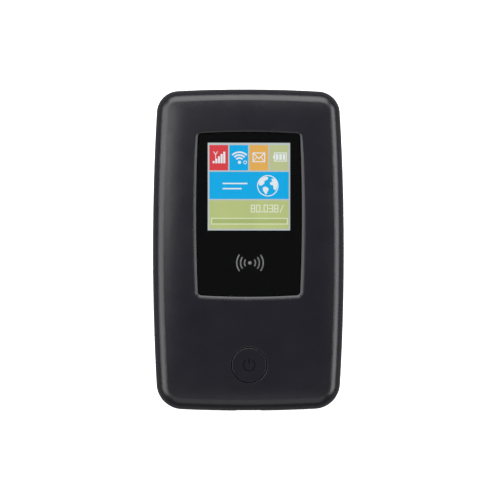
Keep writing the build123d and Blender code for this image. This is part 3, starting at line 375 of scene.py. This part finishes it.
# ---------------------------------------------------------------------------------------------------
# Display window: a plate of clear hard-coated acrylic, die cut, its upper edge broken. Behind it is
# an adhesive film printed black, open over the screen, that holds it in the recess.
# ---------------------------------------------------------------------------------------------------
window_acrylic, window_shader = finish("window_acrylic", (1.0, 1.0, 1.0), 0.03)
window_shader.inputs["Transmission Weight"].default_value = 1.0
window_shader.inputs["IOR"].default_value = 1.49
window_hands = effect(window_acrylic, handling, Patch_Size=9 * mm)
window_gloss = gloss_between(window_acrylic, window_hands.outputs["Mask"], 0.015, 0.06)
window_acrylic.node_tree.links.new(window_gloss, window_shader.inputs["Roughness"])
dress(window_acrylic, "display_window")

mask_black = moulded(
    "mask_black", dark=(0.010, 0.0095, 0.011), light=(0.013, 0.0125, 0.014), worn=(0.012, 0.012, 0.012),
    gloss=(0.50, 0.60), grain_size_mm=0.3, grain_depth_mm=0.0001,
)
shader_of(mask_black).inputs["Specular IOR Level"].default_value = 0.0
dress(mask_black, "window_mask")

# A generic broadcast sign in grey ink on the back of the window: a dot with two waves on each side.
window_low, window_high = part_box("display_window")
ink_thickness = 0.02 * mm
sign_right = 0.3 * mm
sign_down = 15.0 * mm
sign_middle = Vector((sign_right, (window_low.y + window_high.y) / 2 - sign_down, 0))
sign_dot_r = 0.55 * mm
sign_wave_radii = (1.7 * mm, 2.9 * mm, 4.1 * mm)
sign_wave_width = 0.42 * mm
sign_wave_angle = math.radians(76)


def prism(form, outline, low_z, high_z):
    """A flat plate with this outline."""
    lower = [form.verts.new((x, y, low_z)) for x, y in outline]
    upper = [form.verts.new((x, y, high_z)) for x, y in outline]
    form.faces.new(lower[::-1])
    form.faces.new(upper)
    for i in range(len(outline)):
        j = (i + 1) % len(outline)
        form.faces.new((lower[i], lower[j], upper[j], upper[i]))


def round_points(middle_x, middle_y, radius, start, sweep_angle, count):
    """Points along an arc."""
    angles = [start + sweep_angle * i / (count - 1) for i in range(count)]
    return [(middle_x + radius * math.cos(a), middle_y + radius * math.sin(a)) for a in angles]


def disc(form, middle_x, middle_y, radius, low_z, high_z, sides=40):
    """A round plate."""
    outline = round_points(middle_x, middle_y, radius, 0.0, 2 * math.pi, sides + 1)[:-1]
    prism(form, outline, low_z, high_z)


def arc_band(form, middle_x, middle_y, radius, band_width, start, sweep_angle, low_z, high_z, points=25):
    """A curved strip of even width."""
    outer = round_points(middle_x, middle_y, radius + band_width / 2, start, sweep_angle, points)
    inner = round_points(middle_x, middle_y, radius - band_width / 2, start, sweep_angle, points)
    prism(form, outer + inner[::-1], low_z, high_z)


def plate_piece(name, form, material, body):
    """Turns plates into a piece that moves with a body."""
    bmesh.ops.recalc_face_normals(form, faces=form.faces)
    mesh = bpy.data.meshes.new(name)
    form.to_mesh(mesh)
    form.free()
    mesh.materials.append(material)
    piece = bpy.data.objects.new(name, mesh)
    scene.collection.objects.link(piece)
    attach(piece, body)


broadcast_form = bmesh.new()
ink_low = window_low.z
ink_high = window_low.z + ink_thickness
disc(broadcast_form, sign_middle.x, sign_middle.y, sign_dot_r, ink_low, ink_high)
for wave_r in sign_wave_radii:
    for side_angle in (0.0, math.pi):
        wave_start = side_angle - sign_wave_angle / 2
        arc_band(
            broadcast_form, sign_middle.x, sign_middle.y, wave_r, sign_wave_width,
            wave_start, sign_wave_angle, ink_low, ink_high,
        )
sign_ink = moulded(
    "sign_ink", dark=(0.20, 0.20, 0.205), light=(0.26, 0.26, 0.265), worn=(0.26, 0.26, 0.26),
    gloss=(0.5, 0.6), grain_size_mm=0.05, grain_depth_mm=0.001,
)
plate_piece("window_sign", broadcast_form, sign_ink, "chassis")


# ---------------------------------------------------------------------------------------------------
# Screen: two sheets of display glass over a backlight, lit, with a picture of coloured tiles and white
# signs. The picture is in the glass, so its fields and signs lie on it as leaves of light.
# ---------------------------------------------------------------------------------------------------
panel_glass, panel_shader = finish("screen_glass", (0.012, 0.013, 0.016), 0.08)
panel_hands = effect(panel_glass, handling, Patch_Size=6 * mm)
panel_gloss = gloss_between(panel_glass, panel_hands.outputs["Mask"], 0.06, 0.12)
panel_glass.node_tree.links.new(panel_gloss, panel_shader.inputs["Roughness"])
dress(panel_glass, "lcd_panel")

# Dots of the picture, and the slight fall of the backlight across it.
dots, dots_in, dots_out = effect_group("picture dots", [("Pitch", 0.2 * mm)], ["Mask"])
pitch = dots_in.outputs["Pitch"]
dot_place = dots.nodes.new("ShaderNodeSeparateXYZ")
dots.links.new(measured_place(dots, pitch, pitch, pitch), dot_place.inputs["Vector"])
column_edge = calculate(dots, "PINGPONG", dot_place.outputs["X"], 0.5)
row_edge = calculate(dots, "PINGPONG", dot_place.outputs["Y"], 0.5)
column_light = between(dots, column_edge, 0.02, 0.14)
row_light = between(dots, row_edge, 0.02, 0.14)
dot_light = calculate(dots, "MULTIPLY", column_light, row_light)
lamp_fall = between(dots, cloud(dots, measured_place(dots, 9 * mm, 40 * mm, 9 * mm), 1.0, 1.0), 0.1, 0.9)
dots.links.new(calculate(dots, "MULTIPLY", dot_light, lamp_fall), dots_out.inputs["Mask"])


def daylight(red, green, blue):
    """Screen colour, 0 to 255 as a display counts it, as the shader's even scale."""
    even = []
    for step in (red, green, blue):
        share = step / 255
        even.append(share / 12.92 if step < 10.3 else ((share + 0.055) / 1.055) ** 2.4)
    return tuple(even)


def lit(name, red, green, blue, unevenness=0.12):
    """A lit field of the picture: dark glass that gives off one colour, weaker between the dots."""
    full = daylight(red, green, blue)
    material, shader = finish(name, (0.002, 0.002, 0.002), 0.5)
    shader.inputs["Specular IOR Level"].default_value = 0.0
    spots = effect(material, dots)
    weak = tuple(c * (1 - unevenness) for c in full)
    strong = tuple(c * (1 + 0.4 * unevenness) for c in full)
    light = tint(material, spots.outputs["Mask"], weak, strong)
    material.node_tree.links.new(light, shader.inputs["Emission Color"])
    shader.inputs["Emission Strength"].default_value = 1.0
    return material


panel_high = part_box("lcd_panel")[1]
screen_width = 25.3 * mm
screen_length = 26.9 * mm
lcd_top_border = 2.2 * mm
screen_left = -screen_width / 2
screen_top = panel_high.y - lcd_top_border
leaf = 0.02 * mm
backing_level = panel_high.z + leaf / 2
tile_level = backing_level + leaf
sign_level = tile_level + leaf
screen_spill = 0.25 * mm
screen_border = 0.42 * mm
tile_count = 4
tile_gap = 0.42 * mm
tile_width = (screen_width - 2 * screen_border - (tile_count - 1) * tile_gap) / tile_count
tile_top = 0.55 * mm
tile_height = 7.85 * mm
name_height = 8.45 * mm
name_top = tile_top + tile_height + tile_gap
data_top = name_top + name_height + tile_gap
data_margin = 0.4 * mm
data_bottom = screen_length - data_margin
field_right = screen_width - 0.6 * screen_border


def across(x):
    """Place across the screen, from its left edge."""
    return screen_left + x


def down(y):
    """Place down the screen, from its upper edge."""
    return screen_top - y


def block(form, left, top, right, bottom, level):
    """A rectangular leaf of the picture, in places measured from its upper left corner."""
    corners = [(left, bottom), (right, bottom), (right, top), (left, top)]
    prism(form, [(across(x), down(y)) for x, y in corners], level, level + leaf)


def stroke(form, points, line, level):
    """A bent line of even width, in places measured from the picture's upper left corner."""
    for (x0, y0), (x1, y1) in zip(points, points[1:]):
        run = math.hypot(x1 - x0, y1 - y0)
        side_x = (y1 - y0) / run * line / 2
        side_y = -(x1 - x0) / run * line / 2
        end_x = (x1 - x0) / run * line / 2
        end_y = (y1 - y0) / run * line / 2
        outline = [
            (x0 - end_x + side_x, y0 - end_y + side_y),
            (x1 + end_x + side_x, y1 + end_y + side_y),
            (x1 + end_x - side_x, y1 + end_y - side_y),
            (x0 - end_x - side_x, y0 - end_y - side_y),
        ]
        prism(form, [(across(x), down(y)) for x, y in outline], level, level + leaf)


def rim(form, left, top, right, bottom, line, level):
    """The outline of a rectangle, drawn as one bent line."""
    corners = [(left, top), (right, top), (right, bottom), (left, bottom), (left, top)]
    stroke(form, corners, line, level)


backing_form = bmesh.new()
block(
    backing_form, -screen_spill, -screen_spill,
    screen_width + screen_spill, screen_length + screen_spill, backing_level,
)
screen_white = lit("screen_white", 196, 205, 206)
plate_piece("screen_backing", backing_form, screen_white, "chassis")

tile_colors = (
    ("signal_tile", (226, 66, 74)),
    ("radio_tile", (0, 178, 242)),
    ("message_tile", (238, 182, 90)),
    ("charge_tile", (195, 204, 151)),
)
tile_lefts = [screen_border + i * (tile_width + tile_gap) for i in range(tile_count)]
for (tile_name, tile_color), tile_left in zip(tile_colors, tile_lefts):
    tile_form = bmesh.new()
    block(tile_form, tile_left, tile_top, tile_left + tile_width, tile_top + tile_height, tile_level)
    plate_piece(tile_name, tile_form, lit(tile_name, *tile_color), "chassis")
name_form = bmesh.new()
block(name_form, screen_border, name_top, field_right, name_top + name_height, tile_level)
plate_piece("network_tile", name_form, lit("network_blue", 0, 178, 242), "chassis")
data_form = bmesh.new()
block(data_form, screen_border, data_top, field_right, data_bottom, tile_level)
data_green = lit("data_green", 196, 209, 138, unevenness=0.2)
plate_piece("data_tile", data_form, data_green, "chassis")

# White signs, each placed from the upper left corner of the picture. First the signal bars.
sign_form = bmesh.new()
bar_count = 5
bar_width = 0.62 * mm
bar_pitch = 0.82 * mm
bar_start = 1.45 * mm
bar_floor = 6.2 * mm
shortest_bar = 0.7 * mm
bar_growth = 0.72 * mm
for i in range(bar_count):
    bar_left = bar_start + i * bar_pitch
    bar_top = bar_floor - (shortest_bar + i * bar_growth)
    block(sign_form, bar_left, bar_top, bar_left + bar_width, bar_floor, sign_level)

# An aerial over the shorter bars: two arms that meet on a mast.
fine_line = 0.2 * mm
mast_x = 2.35 * mm
mast_top = 3.5 * mm
mast_foot = 4.6 * mm
arm_reach = 0.6 * mm
arm_top = 2.6 * mm
arms = [(mast_x - arm_reach, arm_top), (mast_x, mast_top), (mast_x + arm_reach, arm_top)]
stroke(sign_form, arms, fine_line, sign_level)
stroke(sign_form, [(mast_x, mast_top), (mast_x, mast_foot)], fine_line, sign_level)

# Radio waves over a dot, with a small ring beside them for the number of users.
radio_x = 9.75 * mm
radio_y = 5.9 * mm
radio_dot_r = 0.5 * mm
radio_radii = (1.35 * mm, 2.25 * mm, 3.15 * mm)
radio_wave_width = 0.5 * mm
radio_wave_start = math.radians(45)
radio_wave_angle = math.radians(90)
sign_roof = sign_level + leaf
disc(sign_form, across(radio_x), down(radio_y), radio_dot_r, sign_level, sign_roof)
for radio_r in radio_radii:
    arc_band(
        sign_form, across(radio_x), down(radio_y), radio_r, radio_wave_width,
        radio_wave_start, radio_wave_angle, sign_level, sign_roof,
    )
user_mark_x = radio_x + 1.75 * mm
user_mark_r = 0.45 * mm
arc_band(
    sign_form, across(user_mark_x), down(radio_y), user_mark_r, fine_line,
    0.0, 2 * math.pi, sign_level, sign_roof,
)

# An envelope in the middle of its tile: its rim, the flap and two folds.
envelope_x = tile_lefts[2] + tile_width / 2
envelope_reach = 1.8 * mm
envelope_left = envelope_x - envelope_reach
envelope_right = envelope_x + envelope_reach
envelope_top = 3.0 * mm
envelope_bottom = 5.7 * mm
envelope_line = 0.3 * mm
flap_tip = 4.75 * mm
fold_reach = 0.7 * mm
fold_top = 4.4 * mm
rim(sign_form, envelope_left, envelope_top, envelope_right, envelope_bottom, envelope_line, sign_level)
flap = [(envelope_left, envelope_top), (envelope_x, flap_tip), (envelope_right, envelope_top)]
stroke(sign_form, flap, envelope_line, sign_level)
folds = ((envelope_left, envelope_x - fold_reach), (envelope_right, envelope_x + fold_reach))
for corner_x, fold_x in folds:
    stroke(sign_form, [(corner_x, envelope_bottom), (fold_x, fold_top)], fine_line, sign_level)

# A charge gauge: a cell lying down with its pole to the left and three bars of charge.
cell_left = 20.65 * mm
cell_top = 2.95 * mm
cell_right = 24.3 * mm
cell_bottom = 5.5 * mm
cell_line = 0.26 * mm
rim(sign_form, cell_left, cell_top, cell_right, cell_bottom, cell_line, sign_level)
pole_left = cell_left - 0.45 * mm
pole_right = cell_left - 0.1 * mm
pole_top = 3.7 * mm
pole_bottom = 4.75 * mm
block(sign_form, pole_left, pole_top, pole_right, pole_bottom, sign_level)
charge_count = 3
charge_start = cell_left + 0.35 * mm
charge_pitch = 1.08 * mm
charge_width = 0.8 * mm
charge_inset = 0.4 * mm
for i in range(charge_count):
    charge_left = charge_start + i * charge_pitch
    charge_right = charge_left + charge_width
    block(
        sign_form, charge_left, cell_top + charge_inset, charge_right, cell_bottom - charge_inset,
        sign_level,
    )

# Two plain lines stand where a name would.
name_line = 0.42 * mm
name_left = 4.75 * mm
for line_right, line_y in ((12.0 * mm, 12.45 * mm), (10.2 * mm, 14.05 * mm)):
    stroke(sign_form, [(name_left, line_y), (line_right, line_y)], name_line, sign_level)

# The globe: a ring with three invented lands, each a closed curve through a few points.
globe_x = 18.53 * mm
globe_y = 13.15 * mm
globe_r = 3.3 * mm
globe_ring = 0.28 * mm
for half in range(2):
    arc_band(
        sign_form, across(globe_x), down(globe_y), globe_r - globe_ring / 2, globe_ring,
        math.pi * half, math.pi, sign_level, sign_level + leaf,
    )


def coast(form, points, steps=5):
    """A land on the globe: a closed smooth curve through points given as shares of its radius."""
    outline = []
    count = len(points)
    for i in range(count):
        before, start, end, after = (Vector(points[(i + k) % count]) for k in (-1, 0, 1, 2))
        for step in range(steps):
            t = step / steps
            bend = (
                2 * start
                + (end - before) * t
                + (2 * before - 5 * start + 4 * end - after) * t**2
                + (3 * start - before - 3 * end + after) * t**3
            ) / 2
            outline.append((across(globe_x) + bend.x * globe_r, down(globe_y) + bend.y * globe_r))
    prism(form, outline, sign_level, sign_level + leaf)


lands = (
    ((-0.86, 0.30), (-0.62, 0.66), (-0.25, 0.84), (0.02, 0.78), (-0.06, 0.56), (-0.30, 0.46), (-0.34, 0.22),
     (-0.58, 0.04), (-0.78, 0.06)),
    ((-0.42, -0.14), (-0.16, -0.10), (0.08, -0.30), (-0.02, -0.52), (-0.16, -0.82), (-0.30, -0.66),
     (-0.46, -0.38)),
    ((0.34, 0.62), (0.62, 0.66), (0.86, 0.34), (0.88, -0.06), (0.74, -0.40), (0.56, -0.30), (0.50, 0.02),
     (0.26, 0.10), (0.22, 0.30), (0.42, 0.42)),
)
for land in lands:
    coast(sign_form, land)
sign_white = lit("sign_white", 238, 246, 250)
plate_piece("screen_signs", sign_form, sign_white, "chassis")

# Data field: a readout of seven-stroke figures, and a gauge drawn as a long open bar.
figure_form = bmesh.new()
figure_width = 1.05 * mm
figure_height = 2.1 * mm
figure_line = 0.3 * mm
figure_left = 13.4 * mm
figure_top = 19.15 * mm
figure_pitch = 1.62 * mm
figure_strokes = {"0": "abcdef", "3": "abgcd", "8": "abcdefg"}


def figure(form, digit, left_x):
    """One figure of the readout."""
    right_x = left_x + figure_width
    middle_y = figure_top + figure_height / 2
    low_y = figure_top + figure_height
    runs = {
        "a": ((left_x, figure_top), (right_x, figure_top)),
        "b": ((right_x, figure_top), (right_x, middle_y)),
        "c": ((right_x, middle_y), (right_x, low_y)),
        "d": ((left_x, low_y), (right_x, low_y)),
        "e": ((left_x, middle_y), (left_x, low_y)),
        "f": ((left_x, figure_top), (left_x, middle_y)),
        "g": ((left_x, middle_y), (right_x, middle_y)),
    }
    for run in figure_strokes[digit]:
        stroke(form, runs[run], figure_line, sign_level)


# Each figure and its place in the row, which leaves room for a point after the second.
for digit, place in (("8", 0.0), ("0", 1.0), ("0", 2.45), ("3", 3.45), ("8", 4.45)):
    figure(figure_form, digit, figure_left + place * figure_pitch)
point_left = 16.55 * mm
point_top = 20.95 * mm
point_side = 0.4 * mm
block(figure_form, point_left, point_top, point_left + point_side, point_top + point_side, sign_level)
slash = [(22.4 * mm, 21.3 * mm), (23.3 * mm, 19.2 * mm)]
slash_line = 0.26 * mm
stroke(figure_form, slash, slash_line, sign_level)
plate_piece("data_figures", figure_form, lit("figure_white", 232, 238, 214), "chassis")
gauge_form = bmesh.new()
gauge_left = 1.1 * mm
gauge_top = 23.25 * mm
gauge_right = 24.6 * mm
gauge_bottom = 25.0 * mm
gauge_line = 0.34 * mm
rim(gauge_form, gauge_left, gauge_top, gauge_right, gauge_bottom, gauge_line, sign_level)
plate_piece("data_gauge", gauge_form, lit("gauge_green", 224, 233, 190), "chassis")
trough_form = bmesh.new()
trough_inset = 0.2 * mm
block(
    trough_form, gauge_left + trough_inset, gauge_top + trough_inset,
    gauge_right - trough_inset, gauge_bottom - trough_inset, tile_level + leaf / 2,
)
trough_green = lit("trough_green", 180, 196, 124, unevenness=0.2)
plate_piece("data_trough", trough_form, trough_green, "chassis")


# ---------------------------------------------------------------------------------------------------
# Behind the screen: white backlight tray with its clear light guide, foam ring and foam tape, driver
# chip, and an amber polyimide flex with etched copper lines down to an ivory connector.
# ---------------------------------------------------------------------------------------------------
tray_white = moulded(
    "tray_white", dark=(0.66, 0.67, 0.66), light=(0.72, 0.73, 0.72), worn=(0.78, 0.78, 0.78),
    gloss=(0.38, 0.5), grain_size_mm=0.3, grain_depth_mm=0.004,
)
dress(tray_white, "lcd_tray")

guide_clear, guide_shader = finish("light_guide", (0.80, 0.85, 0.88), 0.2)
guide_shader.inputs["Coat Weight"].default_value = 0.5
guide_dots = effect(guide_clear, dots, Pitch=0.6 * mm)
guide_color = tint(guide_clear, guide_dots.outputs["Mask"], (0.86, 0.90, 0.92), (0.62, 0.70, 0.74))
guide_clear.node_tree.links.new(guide_color, guide_shader.inputs["Base Color"])
relief(guide_clear, guide_dots.outputs["Mask"], 0.01 * mm)
dress(guide_clear, "lcd_light_guide")

foam_black = moulded(
    "foam_black", dark=(0.010, 0.010, 0.010), light=(0.022, 0.022, 0.022), worn=(0.03, 0.03, 0.03),
    gloss=(0.9, 0.98), grain_size_mm=0.25, grain_depth_mm=0.06,
)
dress(foam_black, "lcd_gasket", "lcd_tape")

flex_amber, flex_shader = finish("flex_amber", (0.36, 0.15, 0.03), 0.3)
flex_shader.inputs["Coat Weight"].default_value = 0.6
flex_pitch = 0.5 * mm
flex_lines = flex_amber.node_tree.nodes.new("ShaderNodeSeparateXYZ")
flex_place = measured_place(flex_amber.node_tree, flex_pitch, flex_pitch, flex_pitch)
flex_amber.node_tree.links.new(flex_place, flex_lines.inputs["Vector"])
flex_line = calculate(flex_amber.node_tree, "PINGPONG", flex_lines.outputs["X"], 0.5)
flex_copper = between(flex_amber.node_tree, flex_line, 0.2, 0.3)
flex_color = tint(flex_amber, flex_copper, (0.26, 0.09, 0.015), (0.52, 0.24, 0.06))
flex_amber.node_tree.links.new(flex_color, flex_shader.inputs["Base Color"])
relief(flex_amber, flex_copper, 0.018 * mm)
dress(flex_amber, "lcd_flex")

ivory = moulded(
    "connector_ivory", dark=(0.62, 0.57, 0.45), light=(0.70, 0.65, 0.54), worn=(0.76, 0.72, 0.62),
    gloss=(0.4, 0.5), grain_size_mm=0.2, grain_depth_mm=0.004,
)
dress(ivory, "lcd_connector", "reset_plunger")


# ---------------------------------------------------------------------------------------------------
# Chips: black epoxy packages, ground flat and faintly swirled, soldered under the board or bonded to
# the display glass. Their corner dimples are moulded.
# ---------------------------------------------------------------------------------------------------
chip_black = moulded(
    "chip_black", dark=(0.012, 0.012, 0.013), light=(0.020, 0.020, 0.021), worn=(0.045, 0.045, 0.045),
    gloss=(0.45, 0.6), grain_size_mm=0.07, grain_depth_mm=0.004,
)
dress(chip_black, "lcd_driver_chip", "modem_chip", "memory_chip", "radio_chips", "power_chip")


# ---------------------------------------------------------------------------------------------------
# Main board: glass-epoxy laminate with a green solder mask. Copper lines show through the mask as
# paler ribs, and rows of plated holes as gold dots.
# ---------------------------------------------------------------------------------------------------
board_green, board_shader = finish("board_green", (0.010, 0.075, 0.025), 0.35)
board_shader.inputs["Coat Weight"].default_value = 0.35
board_tree = board_green.node_tree
board_pitch = 1.1 * mm
lines_place = measured_place(board_tree, board_pitch, board_pitch, board_pitch)
lines = board_tree.nodes.new("ShaderNodeTexVoronoi")
lines.distance = "MANHATTAN"
lines.feature = "F2"
lines.inputs["Scale"].default_value = 0.7
board_tree.links.new(lines_place, lines.inputs["Vector"])
line_count = calculate(board_tree, "MULTIPLY", lines.outputs["Distance"], 4.0)
line_edge = calculate(board_tree, "PINGPONG", line_count, 0.5)
copper_lines = between(board_tree, line_edge, 0.28, 0.34)
under_mask = tint(board_green, copper_lines, (0.007, 0.052, 0.018), (0.020, 0.125, 0.040))
holes = board_tree.nodes.new("ShaderNodeTexVoronoi")
holes.inputs["Scale"].default_value = 0.35
board_tree.links.new(lines_place, holes.inputs["Vector"])
plated = between(board_tree, holes.outputs["Distance"], 0.13, 0.10)
board_color = tint_over(board_green, plated, under_mask, (0.75, 0.50, 0.18))
board_tree.links.new(board_color, board_shader.inputs["Base Color"])
board_tree.links.new(plated, board_shader.inputs["Metallic"])
relief(board_green, copper_lines, 0.03 * mm)
dress(board_green, "main_board")

ceramic, ceramic_shader = finish("component_tan", (0.34, 0.24, 0.15), 0.4)
islands = ceramic.node_tree.nodes.new("ShaderNodeNewGeometry")
ceramic_color = tint(ceramic, islands.outputs["Random Per Island"], (0.16, 0.11, 0.08), (0.48, 0.36, 0.24))
ceramic.node_tree.links.new(ceramic_color, ceramic_shader.inputs["Base Color"])
ceramic_skin = effect(ceramic, grain, Grain_Size=0.08 * mm)
relief(ceramic, ceramic_skin.outputs["Height"], 0.004 * mm)
dress(ceramic, "board_components")


# ---------------------------------------------------------------------------------------------------
# Sheet metal: tinned steel shield cans, card holder covers, charging port shell and switch bodies, all
# drawn or folded from rolled strip, so fine roll lines run along them and edges are rubbed bright.
# ---------------------------------------------------------------------------------------------------
rolled, rolled_in, rolled_out = effect_group("roll lines", [("Line Width", 0.05 * mm)], ["Height", "Tone"])
line_width = rolled_in.outputs["Line Width"]
line_length = calculate(rolled, "MULTIPLY", line_width, 60.0)
roll_place = measured_place(rolled, line_width, line_length, line_width)
rolled.links.new(cloud(rolled, roll_place, 1.0, 3.0), rolled_out.inputs["Height"])
tarnish_place = measured_place(rolled, 3 * mm, 3 * mm, 3 * mm)
tarnish = between(rolled, cloud(rolled, tarnish_place, 1.0, 4.0), 0.4, 0.65)
rolled.links.new(tarnish, rolled_out.inputs["Tone"])


def sheet_metal(name, bright, dull, gloss, line_mm, depth_mm):
    """Rolled metal: fine parallel lines, tarnish in patches and edges rubbed bright."""
    material, shader = finish(name, bright, gloss[0], 1.0)
    links = material.node_tree.links
    roll = effect(material, rolled, Line_Width=line_mm * mm)
    edges = effect(material, wear, Radius=0.1 * mm, Break_Up=0.5 * mm)
    color = tint(material, roll.outputs["Tone"], bright, dull)
    rubbed = tuple(min(1.0, 1.15 * c) for c in bright)
    links.new(tint_over(material, edges.outputs["Mask"], color, rubbed), shader.inputs["Base Color"])
    links.new(gloss_between(material, roll.outputs["Tone"], gloss[0], gloss[1]), shader.inputs["Roughness"])
    relief(material, roll.outputs["Height"], depth_mm * mm)
    return material


can_steel = sheet_metal(
    "can_steel", bright=(0.66, 0.65, 0.62), dull=(0.50, 0.49, 0.46), gloss=(0.28, 0.42),
    line_mm=0.05, depth_mm=0.002,
)
dress(can_steel, "modem_shield_can", "radio_shield_can", "sim_holder_shell", "memory_holder_shell")
port_steel = sheet_metal(
    "port_steel", bright=(0.60, 0.60, 0.61), dull=(0.44, 0.44, 0.45), gloss=(0.22, 0.36),
    line_mm=0.04, depth_mm=0.0015,
)
dress(port_steel, "usb_port_shell", "power_switch", "reset_switch")
screw_steel = sheet_metal(
    "screw_steel", bright=(0.50, 0.50, 0.52), dull=(0.34, 0.34, 0.36), gloss=(0.25, 0.4),
    line_mm=0.03, depth_mm=0.002,
)
dress(screw_steel, "case_screws")


# ---------------------------------------------------------------------------------------------------
# Contacts and antennas: gold-plated spring strip for the cards, battery and antenna feeds, and etched
# copper foil for both antennas, a little tarnished.
# ---------------------------------------------------------------------------------------------------
contact_gold = sheet_metal(
    "contact_gold", bright=(0.86, 0.60, 0.24), dull=(0.66, 0.43, 0.16), gloss=(0.2, 0.34),
    line_mm=0.03, depth_mm=0.001,
)
dress(contact_gold, "card_contacts", "battery_contacts", "battery_terminals", "antenna_clips")
antenna_copper = sheet_metal(
    "antenna_copper", bright=(0.72, 0.36, 0.20), dull=(0.45, 0.20, 0.10), gloss=(0.26, 0.45),
    line_mm=0.06, depth_mm=0.002,
)
dress(antenna_copper, "main_antenna", "wifi_antenna")


# ---------------------------------------------------------------------------------------------------
# Black connector mouldings: glass-filled nylon for the card holder bases, the tongue of the port, the
# battery connector, the end cap of the battery and the plunger of the power switch.
# ---------------------------------------------------------------------------------------------------
nylon_black = moulded(
    "connector_black", dark=(0.012, 0.012, 0.013), light=(0.024, 0.024, 0.025), worn=(0.05, 0.05, 0.05),
    gloss=(0.42, 0.58), grain_size_mm=0.15, grain_depth_mm=0.008,
)
dress(
    nylon_black,
    "sim_holder_base", "memory_holder_base", "usb_port_tongue", "battery_connector", "battery_end_cap",
    "power_switch_plunger",
)


# ---------------------------------------------------------------------------------------------------
# Chassis frame: black polycarbonate moulding between board and battery. It shows only as a dark line
# in the seam of the case, and with the back cover off.
# ---------------------------------------------------------------------------------------------------
frame_plastic = moulded(
    "frame_plastic", dark=(0.014, 0.014, 0.015), light=(0.020, 0.020, 0.021), worn=(0.04, 0.04, 0.04),
    gloss=(0.48, 0.6), grain_size_mm=0.35, grain_depth_mm=0.012,
)
dress(frame_plastic, "mid_frame")


# ---------------------------------------------------------------------------------------------------
# Battery: a flat cell in shrunk dark grey film, which wrinkles slightly, with a blank silver label.
# A blank white label lies in the bay under it.
# ---------------------------------------------------------------------------------------------------
battery_wrap, wrap_shader = finish("battery_wrap", (0.028, 0.030, 0.034), 0.3)
wrap_shader.inputs["Coat Weight"].default_value = 0.4
wrap_tree = battery_wrap.node_tree
wrinkle = cloud(wrap_tree, measured_place(wrap_tree, 9 * mm, 3 * mm, 5 * mm), 1.0, 4.0)
wrap_tone = between(wrap_tree, wrinkle, 0.3, 0.7)
wrap_color = tint(battery_wrap, wrap_tone, (0.022, 0.024, 0.028), (0.036, 0.038, 0.043))
wrap_tree.links.new(wrap_color, wrap_shader.inputs["Base Color"])
wrap_gloss = gloss_between(battery_wrap, between(wrap_tree, wrinkle, 0.4, 0.6), 0.24, 0.36)
wrap_tree.links.new(wrap_gloss, wrap_shader.inputs["Roughness"])
relief(battery_wrap, wrinkle, 0.12 * mm)
dress(battery_wrap, "battery_pack")

label_silver = moulded(
    "label_silver", dark=(0.42, 0.43, 0.44), light=(0.50, 0.51, 0.52), worn=(0.56, 0.56, 0.57),
    gloss=(0.3, 0.42), grain_size_mm=0.1, grain_depth_mm=0.002,
)
shader_of(label_silver).inputs["Metallic"].default_value = 0.6
dress(label_silver, "battery_label")
label_white = moulded(
    "label_white", dark=(0.70, 0.70, 0.68), light=(0.76, 0.76, 0.74), worn=(0.6, 0.6, 0.58),
    gloss=(0.5, 0.62), grain_size_mm=0.12, grain_depth_mm=0.004,
)
dress(label_white, "bay_label")
